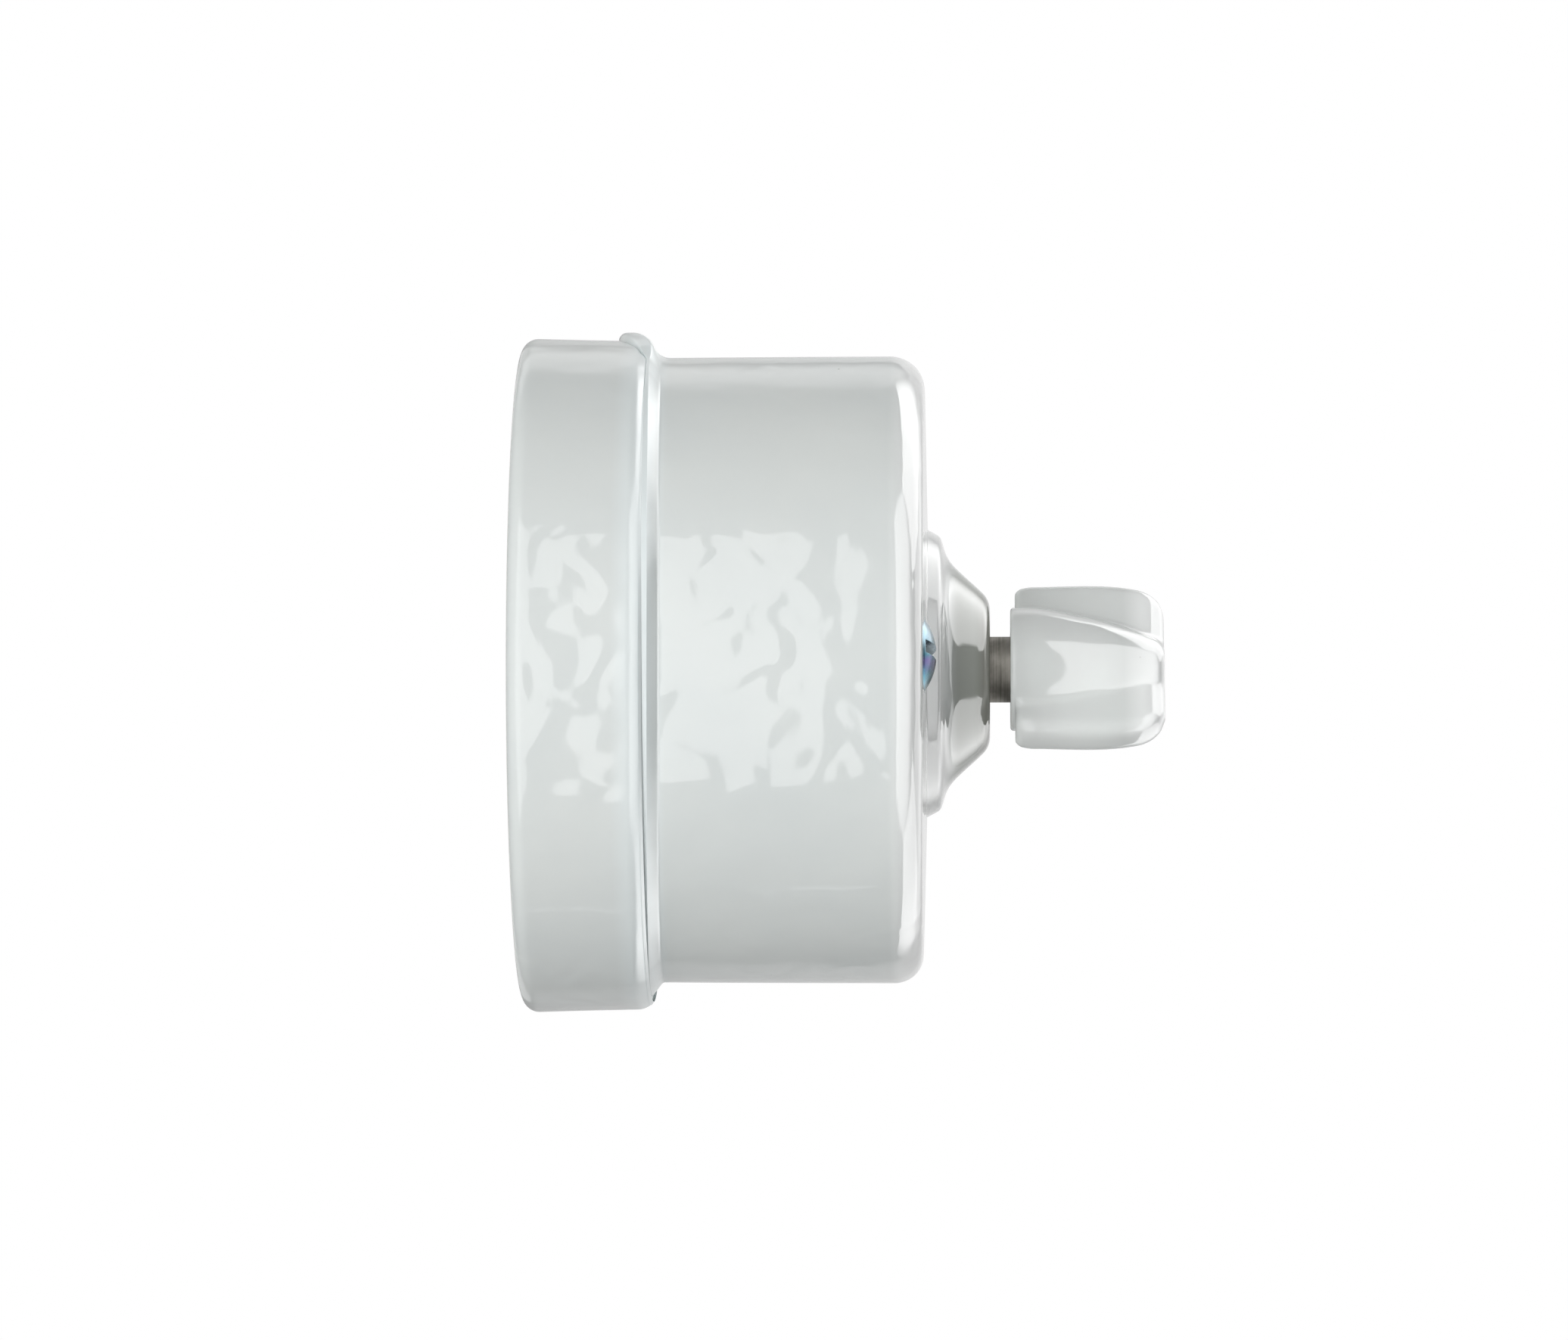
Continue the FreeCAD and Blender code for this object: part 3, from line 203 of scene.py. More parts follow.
def colours():
    """The finishes' colours, by name."""
    return bpy.context.scene.switch_colours


def lerp(start, end, share):
    """A value part of the way from start to end."""
    return start + (end - start) * share


def ease(value, low, high):
    """0 below low, 1 above high, and a smooth rise between."""
    share = np.clip((value - low) / (high - low), 0.0, 1.0)
    return share * share * (3.0 - 2.0 * share)


def quarter_turns(count):
    """Angles from 0 to a quarter turn, both ends among them."""
    return [share * math.pi / 2.0 for share in np.linspace(0.0, 1.0, count)]


def rounded_corner(before, here, after, rounding, steps):
    """Points of a rounded corner, or copies of the corner where it can't be rounded."""
    into = (before - here) / max(np.linalg.norm(before - here), 1e-9)
    out = (after - here) / max(np.linalg.norm(after - here), 1e-9)
    opening = math.acos(float(np.clip(np.dot(into, out), -1.0, 1.0)))
    if rounding <= 0.0 or opening < 0.02 or opening > math.pi - 0.02:
        return [here] * (steps + 1)
    middle = (into + out) / np.linalg.norm(into + out)
    centre = here + middle * rounding / math.sin(opening / 2.0)
    reach = rounding / math.tan(opening / 2.0)
    start = here + into * reach - centre
    end = here + out * reach - centre
    sweep = math.pi - opening
    shares = np.linspace(0.0, 1.0, steps + 1)
    return [centre + (start * math.sin(sweep * (1.0 - s)) + end * math.sin(sweep * s)) / math.sin(sweep)
            for s in shares]


def profile(corners, closed):
    """Points of an outline. A corner is (radius, height, rounding, arc steps, steps to the next corner)."""
    spots = [np.array(corner[:2], float) for corner in corners]
    count = len(corners)
    bends = []
    for index, corner in enumerate(corners):
        rounding, steps = corner[2:4]
        if steps == 0 or (not closed and index in (0, count - 1)):
            bends.append([spots[index]])
        else:
            following = spots[(index + 1) % count]
            bends.append(rounded_corner(spots[index - 1], spots[index], following, rounding, steps))
    points = []
    for index, bend in enumerate(bends):
        points.extend(bend)
        if not closed and index == count - 1:
            break
        following = bends[(index + 1) % count][0]
        run = corners[index][4]
        points.extend(lerp(bend[-1], following, step / run) for step in range(1, run))
    return np.array(points)


def tidy_mesh(mesh, sharp=SHARP_ANGLE):
    """Closes seams and poles, turns faces outwards and shades the mesh smooth up to an angle."""
    made = bmesh.new()
    made.from_mesh(mesh)
    bmesh.ops.remove_doubles(made, verts=made.verts, dist=MERGE)
    bmesh.ops.dissolve_degenerate(made, edges=made.edges, dist=MERGE)
    bmesh.ops.recalc_face_normals(made, faces=made.faces)
    made.to_mesh(mesh)
    made.free()
    mesh.shade_smooth()
    mesh.set_sharp_from_angle(angle=sharp)


def new_piece(name, points, faces):
    """A mesh object at the origin from points in millimetres."""
    mesh = bpy.data.meshes.new(name)
    mesh.from_pydata((np.asarray(points) * MM).tolist(), [], [tuple(face) for face in faces])
    tidy_mesh(mesh)
    piece = bpy.data.objects.new(name, mesh)
    bpy.context.scene.collection.objects.link(piece)
    return piece


def grid_faces(rows, columns, rows_closed, columns_closed):
    """Quads of a grid of points that is numbered row by row."""
    row = np.arange(rows if rows_closed else rows - 1)[:, None]
    column = np.arange(columns if columns_closed else columns - 1)[None, :]
    next_row = (row + 1) % rows
    next_column = (column + 1) % columns
    quads = (row * columns + column, row * columns + next_column,
             next_row * columns + next_column, next_row * columns + column)
    return np.stack(quads, axis=-1).reshape(-1, 4).tolist()


def turned(name, sections, closed, across=0.0, up=0.0):
    """A turned body with one outline of radius and height for each step round its axis."""
    sections = np.asarray(sections)
    turns, count = sections.shape[:2]
    angle = (2.0 * math.pi * np.arange(turns) / turns)[:, None]
    points = np.stack((across + sections[:, :, 0] * np.sin(angle), -sections[:, :, 1],
                       up + sections[:, :, 0] * np.cos(angle)), axis=-1)
    return new_piece(name, points.reshape(-1, 3), grid_faces(turns, count, True, closed))


def bake_modifiers(piece):
    """Turns a piece and its modifiers into a plain mesh."""
    depsgraph = bpy.context.evaluated_depsgraph_get()
    result = bpy.data.meshes.new_from_object(piece.evaluated_get(depsgraph))
    piece.modifiers.clear()
    before = piece.data
    piece.data = result
    bpy.data.meshes.remove(before)
    result.name = piece.name


def cut(piece, cutters):
    """Takes closed cutters away from a piece."""
    for cutter in cutters:
        boolean = piece.modifiers.new("cut", "BOOLEAN")
        boolean.operation = "DIFFERENCE"
        boolean.solver = "EXACT"
        boolean.object = cutter
    bake_modifiers(piece)
    for cutter in cutters:
        mesh = cutter.data
        bpy.data.objects.remove(cutter)
        bpy.data.meshes.remove(mesh)
    tidy_mesh(piece.data)


def round_hole(across, up, steps, lip):
    """A cutter for a stepped round hole: steps of (radius, front end), and a lip rounded at the wall."""
    first = steps[0][0]
    corners = [(0.0, -1.0), (first + lip, -1.0)]
    for turn in quarter_turns(7):
        corners.append((first + lip - lip * math.sin(turn), lip - lip * math.cos(turn)))
    for index, (radius, front) in enumerate(steps):
        if index:
            corners.append((radius, steps[index - 1][1]))
        corners.append((radius, front))
    corners.append((0.0, steps[-1][1]))
    return turned("hole", [np.array(corners)] * HOLE_TURNS, False, across, up)


# Angle from the top at which the nose has run out.
NOSE_HALF_ANGLE = math.radians(23.0)


def nose_share(angle):
    """1 at the top of the switch, falling to 0 where the nose runs out."""
    turn = abs((angle + math.pi) % (2.0 * math.pi) - math.pi)
    part = min(1.0, turn / NOSE_HALF_ANGLE)
    return (1.0 - part * part) ** 1.25


def nose_ring(size, angle, bend):
    """Distance from the axis to the nose's own circle of that radius."""
    rise = size.nose_top - size.nose_bend
    return rise * math.cos(angle) + math.sqrt(bend * bend - (rise * math.sin(angle)) ** 2)


def hand_shaped(sections, inner, outer, depth, middle, half, barrel):
    """Lets the outside of a turned body swell to a slight barrel and wander inwards, as if hand-made."""
    turns = len(sections)
    angle = (2.0 * math.pi * np.arange(turns) / turns)[:, None]
    radius, height = sections[:, :, 0], sections[:, :, 1]
    wander = (0.45 * np.sin(2.0 * angle + 0.7) + 0.3 * np.sin(3.0 * angle + 2.3)
              + 0.15 * np.sin(5.0 * angle + 0.4 - height / 25.0) + 0.1 * np.sin(7.0 * angle + height / 20.0))
    sink = depth * (1.0 + wander) / 2.0 + barrel * ((height - middle) / half) ** 2
    radius -= ease(radius, inner, outer) * sink
    return sections


def base_sections(size):
    """Outlines of the base round its own axis, with the notch for the nose at the top."""
    sections = []
    slope = size.rim_taper / size.seam
    bevel_width, bevel_slope = 0.45, 0.83
    notch_bevel, notch_round = 0.03, 0.14
    collar_top = size.seam + size.collar_rise
    for step in range(TURNS):
        own = 2.0 * math.pi * step / TURNS
        angle = math.atan2(size.rim_radius * math.sin(own), size.rim_radius * math.cos(own) - size.rim_drop)
        share = nose_share(angle)
        notch = size.seam - share * size.nose_rear - min(share * 4.0, 1.0) * size.nose_play
        side = size.rim_radius - slope * notch
        root = nose_ring(size, angle, size.nose_bend - size.nose_depth) + size.rim_drop * math.cos(own)
        root = root - size.nose_play
        notched = min(1.0, share * 3.0)
        bevel = lerp(bevel_width, notch_bevel, notched)
        below = notch - bevel * bevel_slope
        sections.append(profile([
            (0.0, 0.0, 0.0, 0, 8),
            (size.rim_radius, 0.0, size.rim_rear_round, 14, 18),
            (side, below, lerp(size.rim_front_round, notch_round, notched), 12, 1),
            (side - bevel, notch, 0.06, 3, 4),
            (root, notch, 0.0, 0, 4),
            (root, size.seam, 0.0, 0, 4),
            (size.collar_radius, size.seam, 0.3, 4, 3),
            (size.collar_radius, collar_top, 0.5, 5, 2),
            (size.dish_radius, collar_top, 0.5, 5, 6),
            (size.dish_radius, size.floor, 0.3, 4, 8),
            (0.0, size.floor, 0.0, 0, 1),
        ], False))
    return hand_shaped(np.array(sections), inner=33.0, outer=34.6, depth=0.03,
                       middle=14.0, half=9.0, barrel=-0.045)


# How far the bell sits below the axis, and how far the face stands forward at its top, in millimetres.
BELL_SAG = 0.4
FACE_LEAN = 0.1
# Heights from the wall of the rings along the bell's flare, in millimetres.
NECK_HEIGHTS = np.linspace(43.65, 47.3, 32)


def bell_flare(height):
    """Radius of the bell in front of its shoulder: a cone that spreads towards the wall, in millimetres."""
    cone_radius, cone_height, cone_slope = 8.53, 47.58, 0.9
    spread, spread_height, spread_fade = 1.88, 43.5, 0.4
    return (cone_radius + cone_slope * (cone_height - height)
            + spread * math.exp((spread_height - height) / spread_fade))


def cover_sections(size):
    """Outlines of the cover, with the nose at the top and a bell that sits a little low."""
    crown = size.cover_front + size.cover_crown
    shoulder = crown + size.bell_rise
    socket = size.bell_front - size.bell_thickness
    face_back = size.cover_front - size.face_thickness
    hump_round, upper_round = 0.9, 0.6
    sections = []
    for step in range(TURNS):
        angle = 2.0 * math.pi * step / TURNS
        turn = (angle + math.pi) % (2.0 * math.pi) - math.pi
        share = nose_share(angle)
        swell = min(1.0, share * 4.0)
        rear = size.seam - share * size.nose_rear
        near_top = max(-NOSE_HALF_ANGLE, min(NOSE_HALF_ANGLE, turn))
        root = nose_ring(size, near_top, size.nose_bend - size.nose_depth)
        crest = lerp(size.foot_radius - 0.05, nose_ring(size, near_top, size.nose_bend), swell)
        beside = abs(math.sin(angle)) ** 1.5
        ramp = lerp(size.seam + lerp(0.15, 0.8, beside), rear + 1.9, share)
        foot = lerp(size.seam + lerp(1.2, 1.9, beside), size.seam + 1.25, share)
        ledge = lerp(crest - 0.06, crest, swell)
        sag = -BELL_SAG * math.cos(angle)
        lean = FACE_LEAN * math.cos(angle)
        neck = [(bell_flare(height) + sag, height, 0.0, 0, 1) for height in NECK_HEIGHTS]
        rim = size.rim_radius - size.rim_drop * math.cos(angle)
        hump = min(hump_round, max(0.05, (crest - rim) * 0.95))
        upper = (1.0 + math.cos(angle)) / 2.0
        sections.append(profile([
            (size.cover_bore, size.seam, 0.3, 3, 4),
            (root, size.seam, 0.0, 0, 4),
            (root, rear, 0.0, 0, 4),
            (crest, rear, hump, 8, 3),
            (ledge, ramp, lerp(0.08, 1.3, share), 8, 5),
            (size.cover_radius, foot, lerp(0.45, 2.1, share), 12, 36),
            (size.cover_radius, size.cover_front + lean, size.cover_round + upper_round * upper, 16, 26),
            (size.bell_foot + sag, crown + lean / 2.0, 0.12, 4, 5),
            (size.bell_shoulder + sag, shoulder, 0.9, 14, 2),
            *neck,
            (size.bell_tip + sag, size.bell_front, 2.4, 14, 4),
            (size.spindle_hole, size.bell_front, 0.45, 5, 4),
            (size.spindle_hole, socket, 0.0, 0, 3),
            (size.bell_socket, socket, 0.0, 0, 3),
            (size.bell_socket, face_back, 0.6, 3, 10),
            (size.cover_bore, face_back, 2.4, 6, 10),
        ], True))
    return hand_shaped(np.array(sections), inner=31.4, outer=32.3, depth=0.03,
                       middle=52.0, half=37.0, barrel=0.12)


# Half width of the wing and radius of the hub at heights from the wall, in millimetres.
WING_HEIGHTS = (51.3, 52.3, 54.2, 56.1, 58.9, 61.0, 62.7, 64.57, 65.5, 66.2, 66.6)
WING_WIDTHS = (9.39, 9.69, 9.79, 9.86, 9.91, 9.84, 9.64, 9.14, 8.54, 7.69, 6.64)
HUB_HEIGHTS = (50.6, 52.0, 53.6, 55.6, 57.7, 60.7, 63.2, 65.0, 66.6)
HUB_RADII = (6.4, 6.42, 6.36, 6.05, 5.62, 4.95, 4.15, 3.45, 2.75)


def smooth_table(heights, values):
    """A smooth curve through a short table, as a function of height."""
    heights, values = np.array(heights), np.array(values)
    slopes = np.gradient(values, heights)

    def at(height):
        index = int(np.clip(np.searchsorted(heights, height) - 1, 0, len(heights) - 2))
        run = heights[index + 1] - heights[index]
        part = min(1.0, max(0.0, (height - heights[index]) / run))
        rest = 1.0 - part
        return ((1.0 + 2.0 * part) * rest ** 2 * values[index] + part * rest ** 2 * run * slopes[index]
                + part * part * (3.0 - 2.0 * part) * values[index + 1]
                + part * part * (part - 1.0) * run * slopes[index + 1])
    return at


# Steps of a quarter over the hub, round the crease, along the wing and round its end.
HUB_STEPS, CREASE_STEPS, WING_STEPS, END_STEPS = 18, 10, 16, 18
# Below 1 the wing's end is flatter than a half circle.
END_POWER = 0.7
# How far the wing stands off centre, towards its upper end, in millimetres.
WING_SHIFT = 0.25


def knob_quarter(half_width, half_thickness, hub, crease):
    """A quarter of one level of the knob, from over the hub to the end of the wing."""
    crease_up = half_thickness + crease
    crease_out = math.sqrt(max((hub + crease) ** 2 - crease_up ** 2, 1e-6))
    leave = math.atan2(crease_out, crease_up)
    points = []
    for step in range(HUB_STEPS):
        turn = leave * step / HUB_STEPS
        points.append((hub * math.sin(turn), hub * math.cos(turn)))
    for step in range(CREASE_STEPS):
        turn = lerp(math.pi + leave, math.pi, step / CREASE_STEPS)
        points.append((crease_out + crease * math.sin(turn), crease_up + crease * math.cos(turn)))
    end = half_width - half_thickness
    for step in range(WING_STEPS):
        points.append((lerp(crease_out, end, step / WING_STEPS), half_thickness))
    for step in range(END_STEPS + 1):
        turn = math.pi / 2.0 * step / END_STEPS
        out, over = math.sin(turn) ** END_POWER, max(0.0, math.cos(turn)) ** END_POWER
        points.append((end + half_thickness * out, half_thickness * over))
    return np.array(points)


def round_quarter(radius, like):
    """A quarter circle with its points spread like those of another quarter."""
    turns = np.arctan2(like[:, 0], like[:, 1])
    return np.stack((radius * np.sin(turns), radius * np.cos(turns)), axis=-1)


def whole_level(quarter):
    """All the way round a level from its first quarter."""
    first = quarter[:-1]
    second = quarter[::-1][:-1] * (1.0, -1.0)
    third = quarter[:-1] * (-1.0, -1.0)
    fourth = quarter[::-1][:-1] * (-1.0, 1.0)
    return np.concatenate((first, second, third, fourth))


def knob_levels(size):
    """Levels of the knob from the bottom of its bore, round its back and up to its front."""
    wing_width = smooth_table(WING_HEIGHTS, WING_WIDTHS)
    hub_radius = smooth_table(HUB_HEIGHTS, HUB_RADII)
    wing_back = size.knob_rear + size.wing_rear
    rear_round, front_round, front_inset = 0.75, 2.5, 1.75
    hub_edge, bore_edge, tip_length, tip_inset = 0.35, 0.2, 1.1, 0.9
    thick, thinning, thins_from, hub_over_wing = size.wing_half_thickness, 0.09, 0.45, 0.25

    def quarter_at(height, inset, wing_inset, hub_inset):
        share = (height - wing_back) / (size.knob_front - wing_back)
        half_thickness = thick * (1.0 - thinning * ease(share, thins_from, 1.0)) - inset
        hub = max(hub_radius(height) - hub_inset, half_thickness + hub_over_wing)
        return knob_quarter(wing_width(height) - wing_inset, half_thickness, hub, size.hub_crease + inset)

    like = quarter_at(wing_back + rear_round, 0.0, 0.0, 0.0)
    bore_front = size.knob_rear + size.insert_depth
    levels = [(0.0, bore_front), (size.insert_radius, bore_front),
              (size.insert_radius, size.knob_rear + bore_edge),
              (size.insert_radius + bore_edge, size.knob_rear)]
    for turn in quarter_turns(5):
        radius = hub_radius(size.knob_rear) - hub_edge * (1.0 - math.sin(turn))
        levels.append((radius, size.knob_rear + hub_edge * (1.0 - math.cos(turn))))
    levels.append((hub_radius(wing_back), wing_back))
    rings = [(whole_level(round_quarter(radius, like)), height) for radius, height in levels]
    for turn in quarter_turns(7):
        inset = rear_round * (1.0 - math.sin(turn))
        height = wing_back + rear_round * (1.0 - math.cos(turn))
        rings.append((whole_level(quarter_at(height, inset, inset * 0.6, 0.0)), height))
    straight_rear, straight_front = wing_back + rear_round, size.knob_front - front_round
    for share in np.linspace(0.0, 1.0, 40)[1:-1]:
        height = lerp(straight_rear, straight_front, share)
        rings.append((whole_level(quarter_at(height, 0.0, 0.0, 0.0)), height))
    for turn in quarter_turns(24):
        inset = front_inset * (1.0 - math.cos(turn))
        height = straight_front + front_round * math.sin(turn)
        tip = float(np.clip((height - size.knob_front) / tip_length + 1.0, 0.0, 1.0))
        hub_inset = tip_inset * (1.0 - math.sqrt(1.0 - tip * tip))
        rings.append((whole_level(quarter_at(height, inset, 0.0, hub_inset)), height))
    return rings


def set_finish(piece, finish):
    """Gives a piece one material."""
    piece.data.materials.clear()
    piece.data.materials.append(finish)


# Refraction of the glaze, and the height in metres that counts as 1 in its ramps.
GLAZE_IOR = 1.56
RAMP_HEIGHT = 0.07
# Below this height in metres the base is bare biscuit.
BARE_HEIGHT = 0.00004


class Finish:
    """Builds one node material on Object coordinates."""

    def __init__(self, name, metallic=0.0, ior=1.5):
        self.material = bpy.data.materials.new(name)
        self.material.use_nodes = True
        self.tree = self.material.node_tree
        self.tree.nodes.clear()
        self.shader = self.node("ShaderNodeBsdfPrincipled")
        self.shader.inputs["Metallic"].default_value = metallic
        self.shader.inputs["IOR"].default_value = ior
        output = self.node("ShaderNodeOutputMaterial")
        self.join(self.shader.outputs["BSDF"], output.inputs["Surface"])
        self.place = self.node("ShaderNodeTexCoord").outputs["Object"]
        self.normal = None

    def node(self, kind, **settings):
        made = self.tree.nodes.new(kind)
        for key, value in settings.items():
            setattr(made, key, value)
        return made

    def join(self, source, target):
        self.tree.links.new(source, target)

    def feed(self, socket, value):
        if isinstance(value, bpy.types.NodeSocket):
            self.join(value, socket)
        else:
            socket.default_value = value

    def stretched(self, scale):
        """Object coordinates stretched along the axes."""
        mapping = self.node("ShaderNodeMapping")
        mapping.inputs["Scale"].default_value = scale
        self.join(self.place, mapping.inputs["Vector"])
        return mapping.outputs["Vector"]

    def noise(self, scale, detail=2.0, roughness=0.5, vector=None, distortion=0.0):
        made = self.node("ShaderNodeTexNoise")
        made.inputs["Scale"].default_value = scale
        made.inputs["Detail"].default_value = detail
        made.inputs["Roughness"].default_value = roughness
        made.inputs["Distortion"].default_value = distortion
        self.join(vector or self.place, made.inputs["Vector"])
        return made.outputs["Fac"]

    def math(self, operation, first, second):
        made = self.node("ShaderNodeMath", operation=operation)
        self.feed(made.inputs[0], first)
        self.feed(made.inputs[1], second)
        return made.outputs[0]

    def ramp(self, source, stops):
        """Greys or colours along a source, as (place, colour) stops."""
        made = self.node("ShaderNodeValToRGB")
        elements = made.color_ramp.elements
        while len(elements) < len(stops):
            elements.new(0.5)
        for element, (spot, value) in zip(elements, stops):
            element.position = spot
            shade = (value, value, value) if isinstance(value, float) else tuple(value)
            element.color = (*shade, 1.0)
        self.join(source, made.inputs["Fac"])
        return made.outputs["Color"]

    def mix(self, share, first, second):
        """First colour where share is 0, second where it is 1."""
        made = self.node("ShaderNodeMix", data_type="RGBA")
        self.feed(made.inputs["Factor"], share)
        for name, value in (("A", first), ("B", second)):
            socket = [s for s in made.inputs if s.name == name and s.type == "RGBA"][0]
            self.feed(socket, value if isinstance(value, bpy.types.NodeSocket) else (*value, 1.0))
        return [s for s in made.outputs if s.type == "RGBA"][0]

    def along_axis(self):
        """Height from the wall in metres."""
        split = self.node("ShaderNodeSeparateXYZ")
        self.join(self.place, split.inputs["Vector"])
        return self.math("MULTIPLY", split.outputs["Y"], -1.0)

    def specks(self, scale, size, share):
        """1 in a few small round specks."""
        cells = self.node("ShaderNodeTexVoronoi")
        cells.inputs["Scale"].default_value = scale
        self.join(self.place, cells.inputs["Vector"])
        near = self.math("LESS_THAN", cells.outputs["Distance"], size)
        split = self.node("ShaderNodeSeparateColor")
        self.join(cells.outputs["Color"], split.inputs["Color"])
        chosen = self.math("LESS_THAN", split.outputs["Red"], share)
        return self.math("MULTIPLY", near, chosen)

    def bump(self, height, depth):
        """Adds relief of that depth in metres."""
        made = self.node("ShaderNodeBump")
        made.inputs["Strength"].default_value = 1.0
        made.inputs["Distance"].default_value = depth
        self.join(height, made.inputs["Height"])
        if self.normal is not None:
            self.join(self.normal, made.inputs["Normal"])
        self.normal = made.outputs["Normal"]

    def done(self, base, roughness):
        self.feed(self.shader.inputs["Base Color"], base)
        self.feed(self.shader.inputs["Roughness"], roughness)
        if self.normal is not None:
            self.join(self.normal, self.shader.inputs["Normal"])
        return self.material


def glaze_finish():
    """Cool white glaze with soft waves, bare biscuit at the wall, and painted light and shade: a lighter,
    bluer band in the hollow at the seam, partly glaze running together there; a painted highlight round the
    face and on the shoulder; painted shade on the bell, darker on its lip.
    """
    tint = colours()
    made = Finish("glazed_porcelain", ior=GLAZE_IOR)
    height = made.along_axis()
    cloud = made.noise(60.0, 4.0, 0.55)
    body = made.ramp(cloud, [(0.3, tint.glaze), (0.72, tint.glaze_thin)])
    scale = made.math("MULTIPLY", height, 1.0 / RAMP_HEIGHT)
    # The band in the hollow at the seam: a lighter, bluer glaze, partly glaze running together there and
    # partly painted light, and a rougher surface.
    pooled_and_lit_band = made.ramp(scale, [(0.0, 0.0), (0.148, 0.0), (0.165, 0.4),
                               (0.187, 0.7), (0.2, 0.8), (0.225, 0.0)])
    body = made.mix(pooled_and_lit_band, body, tint.pooled_glaze_and_painted_light)
    # Painted highlight: the band from the rounding round the face, over the face to the shoulder, is
    # whitened.
    edge = made.ramp(scale, [(0.545, 0.0), (0.575, 1.0), (0.622, 1.0), (0.632, 0.0)])
    body = made.mix(edge, body, tint.edge_painted_highlight)
    # Painted shade: the bell darkens from its shoulder forwards.
    body = made.mix(made.ramp(scale, [(0.626, 0.0), (0.646, 1.0)]), body, tint.bell_painted_shade)
    # Painted shade: the lip of the bell is darkened further.
    body = made.mix(made.ramp(scale, [(0.67, 0.0), (0.686, 0.75)]), body, tint.bell_lip_painted_shade)
    speck = made.math("MAXIMUM", made.specks(150.0, 0.018, 0.16), made.specks(420.0, 0.03, 0.03))
    body = made.mix(speck, body, tint.speck)
    grain = made.noise(900.0, 5.0, 0.65)
    biscuit = made.ramp(grain, [(0.25, [c * 0.86 for c in tint.biscuit]), (0.7, tint.biscuit)])
    bare = made.math("LESS_THAN", height, BARE_HEIGHT)
    body = made.mix(bare, body, biscuit)
    smooth = made.ramp(made.noise(240.0, 3.0), [(0.3, 0.008), (0.75, 0.025)])
    smooth = made.mix(pooled_and_lit_band, smooth, (0.34, 0.34, 0.34))
    rough = made.mix(bare, smooth, (0.72, 0.72, 0.72))
    calm = made.ramp(scale, [(0.594, 1.0), (0.5995, 0.15)])
    made.bump(made.math("MULTIPLY", made.noise(200.0, 0.0, 0.3, distortion=0.8), calm), 0.00012)
    made.bump(made.noise(1500.0, 2.0), 0.000002)
    return made.done(body, rough)


def knob_finish():
    """The knob's whiter glaze with a faint ripple, and a painted highlight that whitens its tip."""
    tint = colours()
    made = Finish("knob_glaze", ior=GLAZE_IOR)
    body = made.ramp(made.noise(110.0, 4.0, 0.55), [(0.3, tint.knob_glaze), (0.75, tint.glaze_thin)])
    scale = made.math("MULTIPLY", made.along_axis(), 1.0 / RAMP_HEIGHT)
    # Painted highlight: the knob's front end is whitened.
    tip = made.ramp(scale, [(0.89, 0.0), (0.932, 1.0)])
    body = made.mix(tip, body, tint.edge_painted_highlight)
    body = made.mix(made.specks(260.0, 0.02, 0.08), body, tint.speck)
    smooth = made.ramp(made.noise(300.0, 3.0), [(0.3, 0.04), (0.75, 0.08)])
    made.bump(made.noise(150.0, 1.0, 0.35), 0.00002)
    made.bump(made.noise(1600.0, 2.0), 0.0000015)
    return made.done(body, smooth)


def zinc_finish():
    """Blue passivated zinc in bright blue, teal and violet, its tints wandering at random and laid out by
    height as painted light and shade: bright at the top of each head, darker below.
    """
    tint = colours()
    made = Finish("blued_zinc", metallic=1.0)
    split = made.node("ShaderNodeSeparateXYZ")
    made.join(made.place, split.inputs["Vector"])
    # Painted light and shade: height across the head, plus a random wander, picks the tint, bright at the top
    # and darker below.
    across = made.math("ADD", made.math("MULTIPLY", split.outputs["Z"], 1.0 / 0.0075), 0.25)
    painted_light_and_tint_wander = made.math("ADD", across, made.math("MULTIPLY", made.noise(330.0, 3.0, 0.6, distortion=0.6), 0.5))
    body = made.ramp(painted_light_and_tint_wander, [(0.18, tint.zinc_teal), (0.36, tint.zinc_violet), (0.46, tint.zinc_teal),
                             (0.62, tint.zinc)])
    body = made.mix(made.specks(900.0, 0.12, 0.2), body, tint.speck)
    rough = made.ramp(made.noise(1200.0, 4.0), [(0.3, 0.16), (0.75, 0.32)])
    made.bump(made.noise(2600.0, 3.0), 0.000008)
    return made.done(body, rough)


def metal_finish(name, bright, dull, streaks, rough_low, rough_high):
    """Worked metal: fine streaks one way, with dull patches."""
    made = Finish(name, metallic=1.0)
    lines = made.noise(1.0, 4.0, 0.6, made.stretched(streaks))
    patch = made.noise(210.0, 4.0, 0.6, distortion=0.5)
    worn = made.math("ADD", made.math("MULTIPLY", lines, 0.45), made.math("MULTIPLY", patch, 0.55))
    body = made.ramp(worn, [(0.36, dull), (0.58, bright)])
    rough = made.ramp(worn, [(0.35, rough_high), (0.65, rough_low)])
    made.bump(lines, 0.00001)
    return made.done(body, rough)


def steatite_finish():
    """Matt cream ceramic with a fine grain."""
    tint = colours()
    made = Finish("steatite_ceramic")
    grain = made.noise(1100.0, 5.0, 0.7)
    cloud = made.noise(140.0, 3.0)
    worn = made.math("ADD", made.math("MULTIPLY", grain, 0.5), made.math("MULTIPLY", cloud, 0.5))
    body = made.ramp(worn, [(0.36, tint.steatite_dark), (0.6, tint.steatite)])
    body = made.mix(made.specks(380.0, 0.03, 0.2), body, tint.speck)
    rough = made.ramp(grain, [(0.3, 0.55), (0.75, 0.8)])
    made.bump(grain, 0.00002)
    return made.done(body, rough)


def stand_for(piece, body, slot, *nodes):
    """Lets a piece move with a body and stand for its construction nodes."""
    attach(piece, body)
    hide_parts(*nodes)


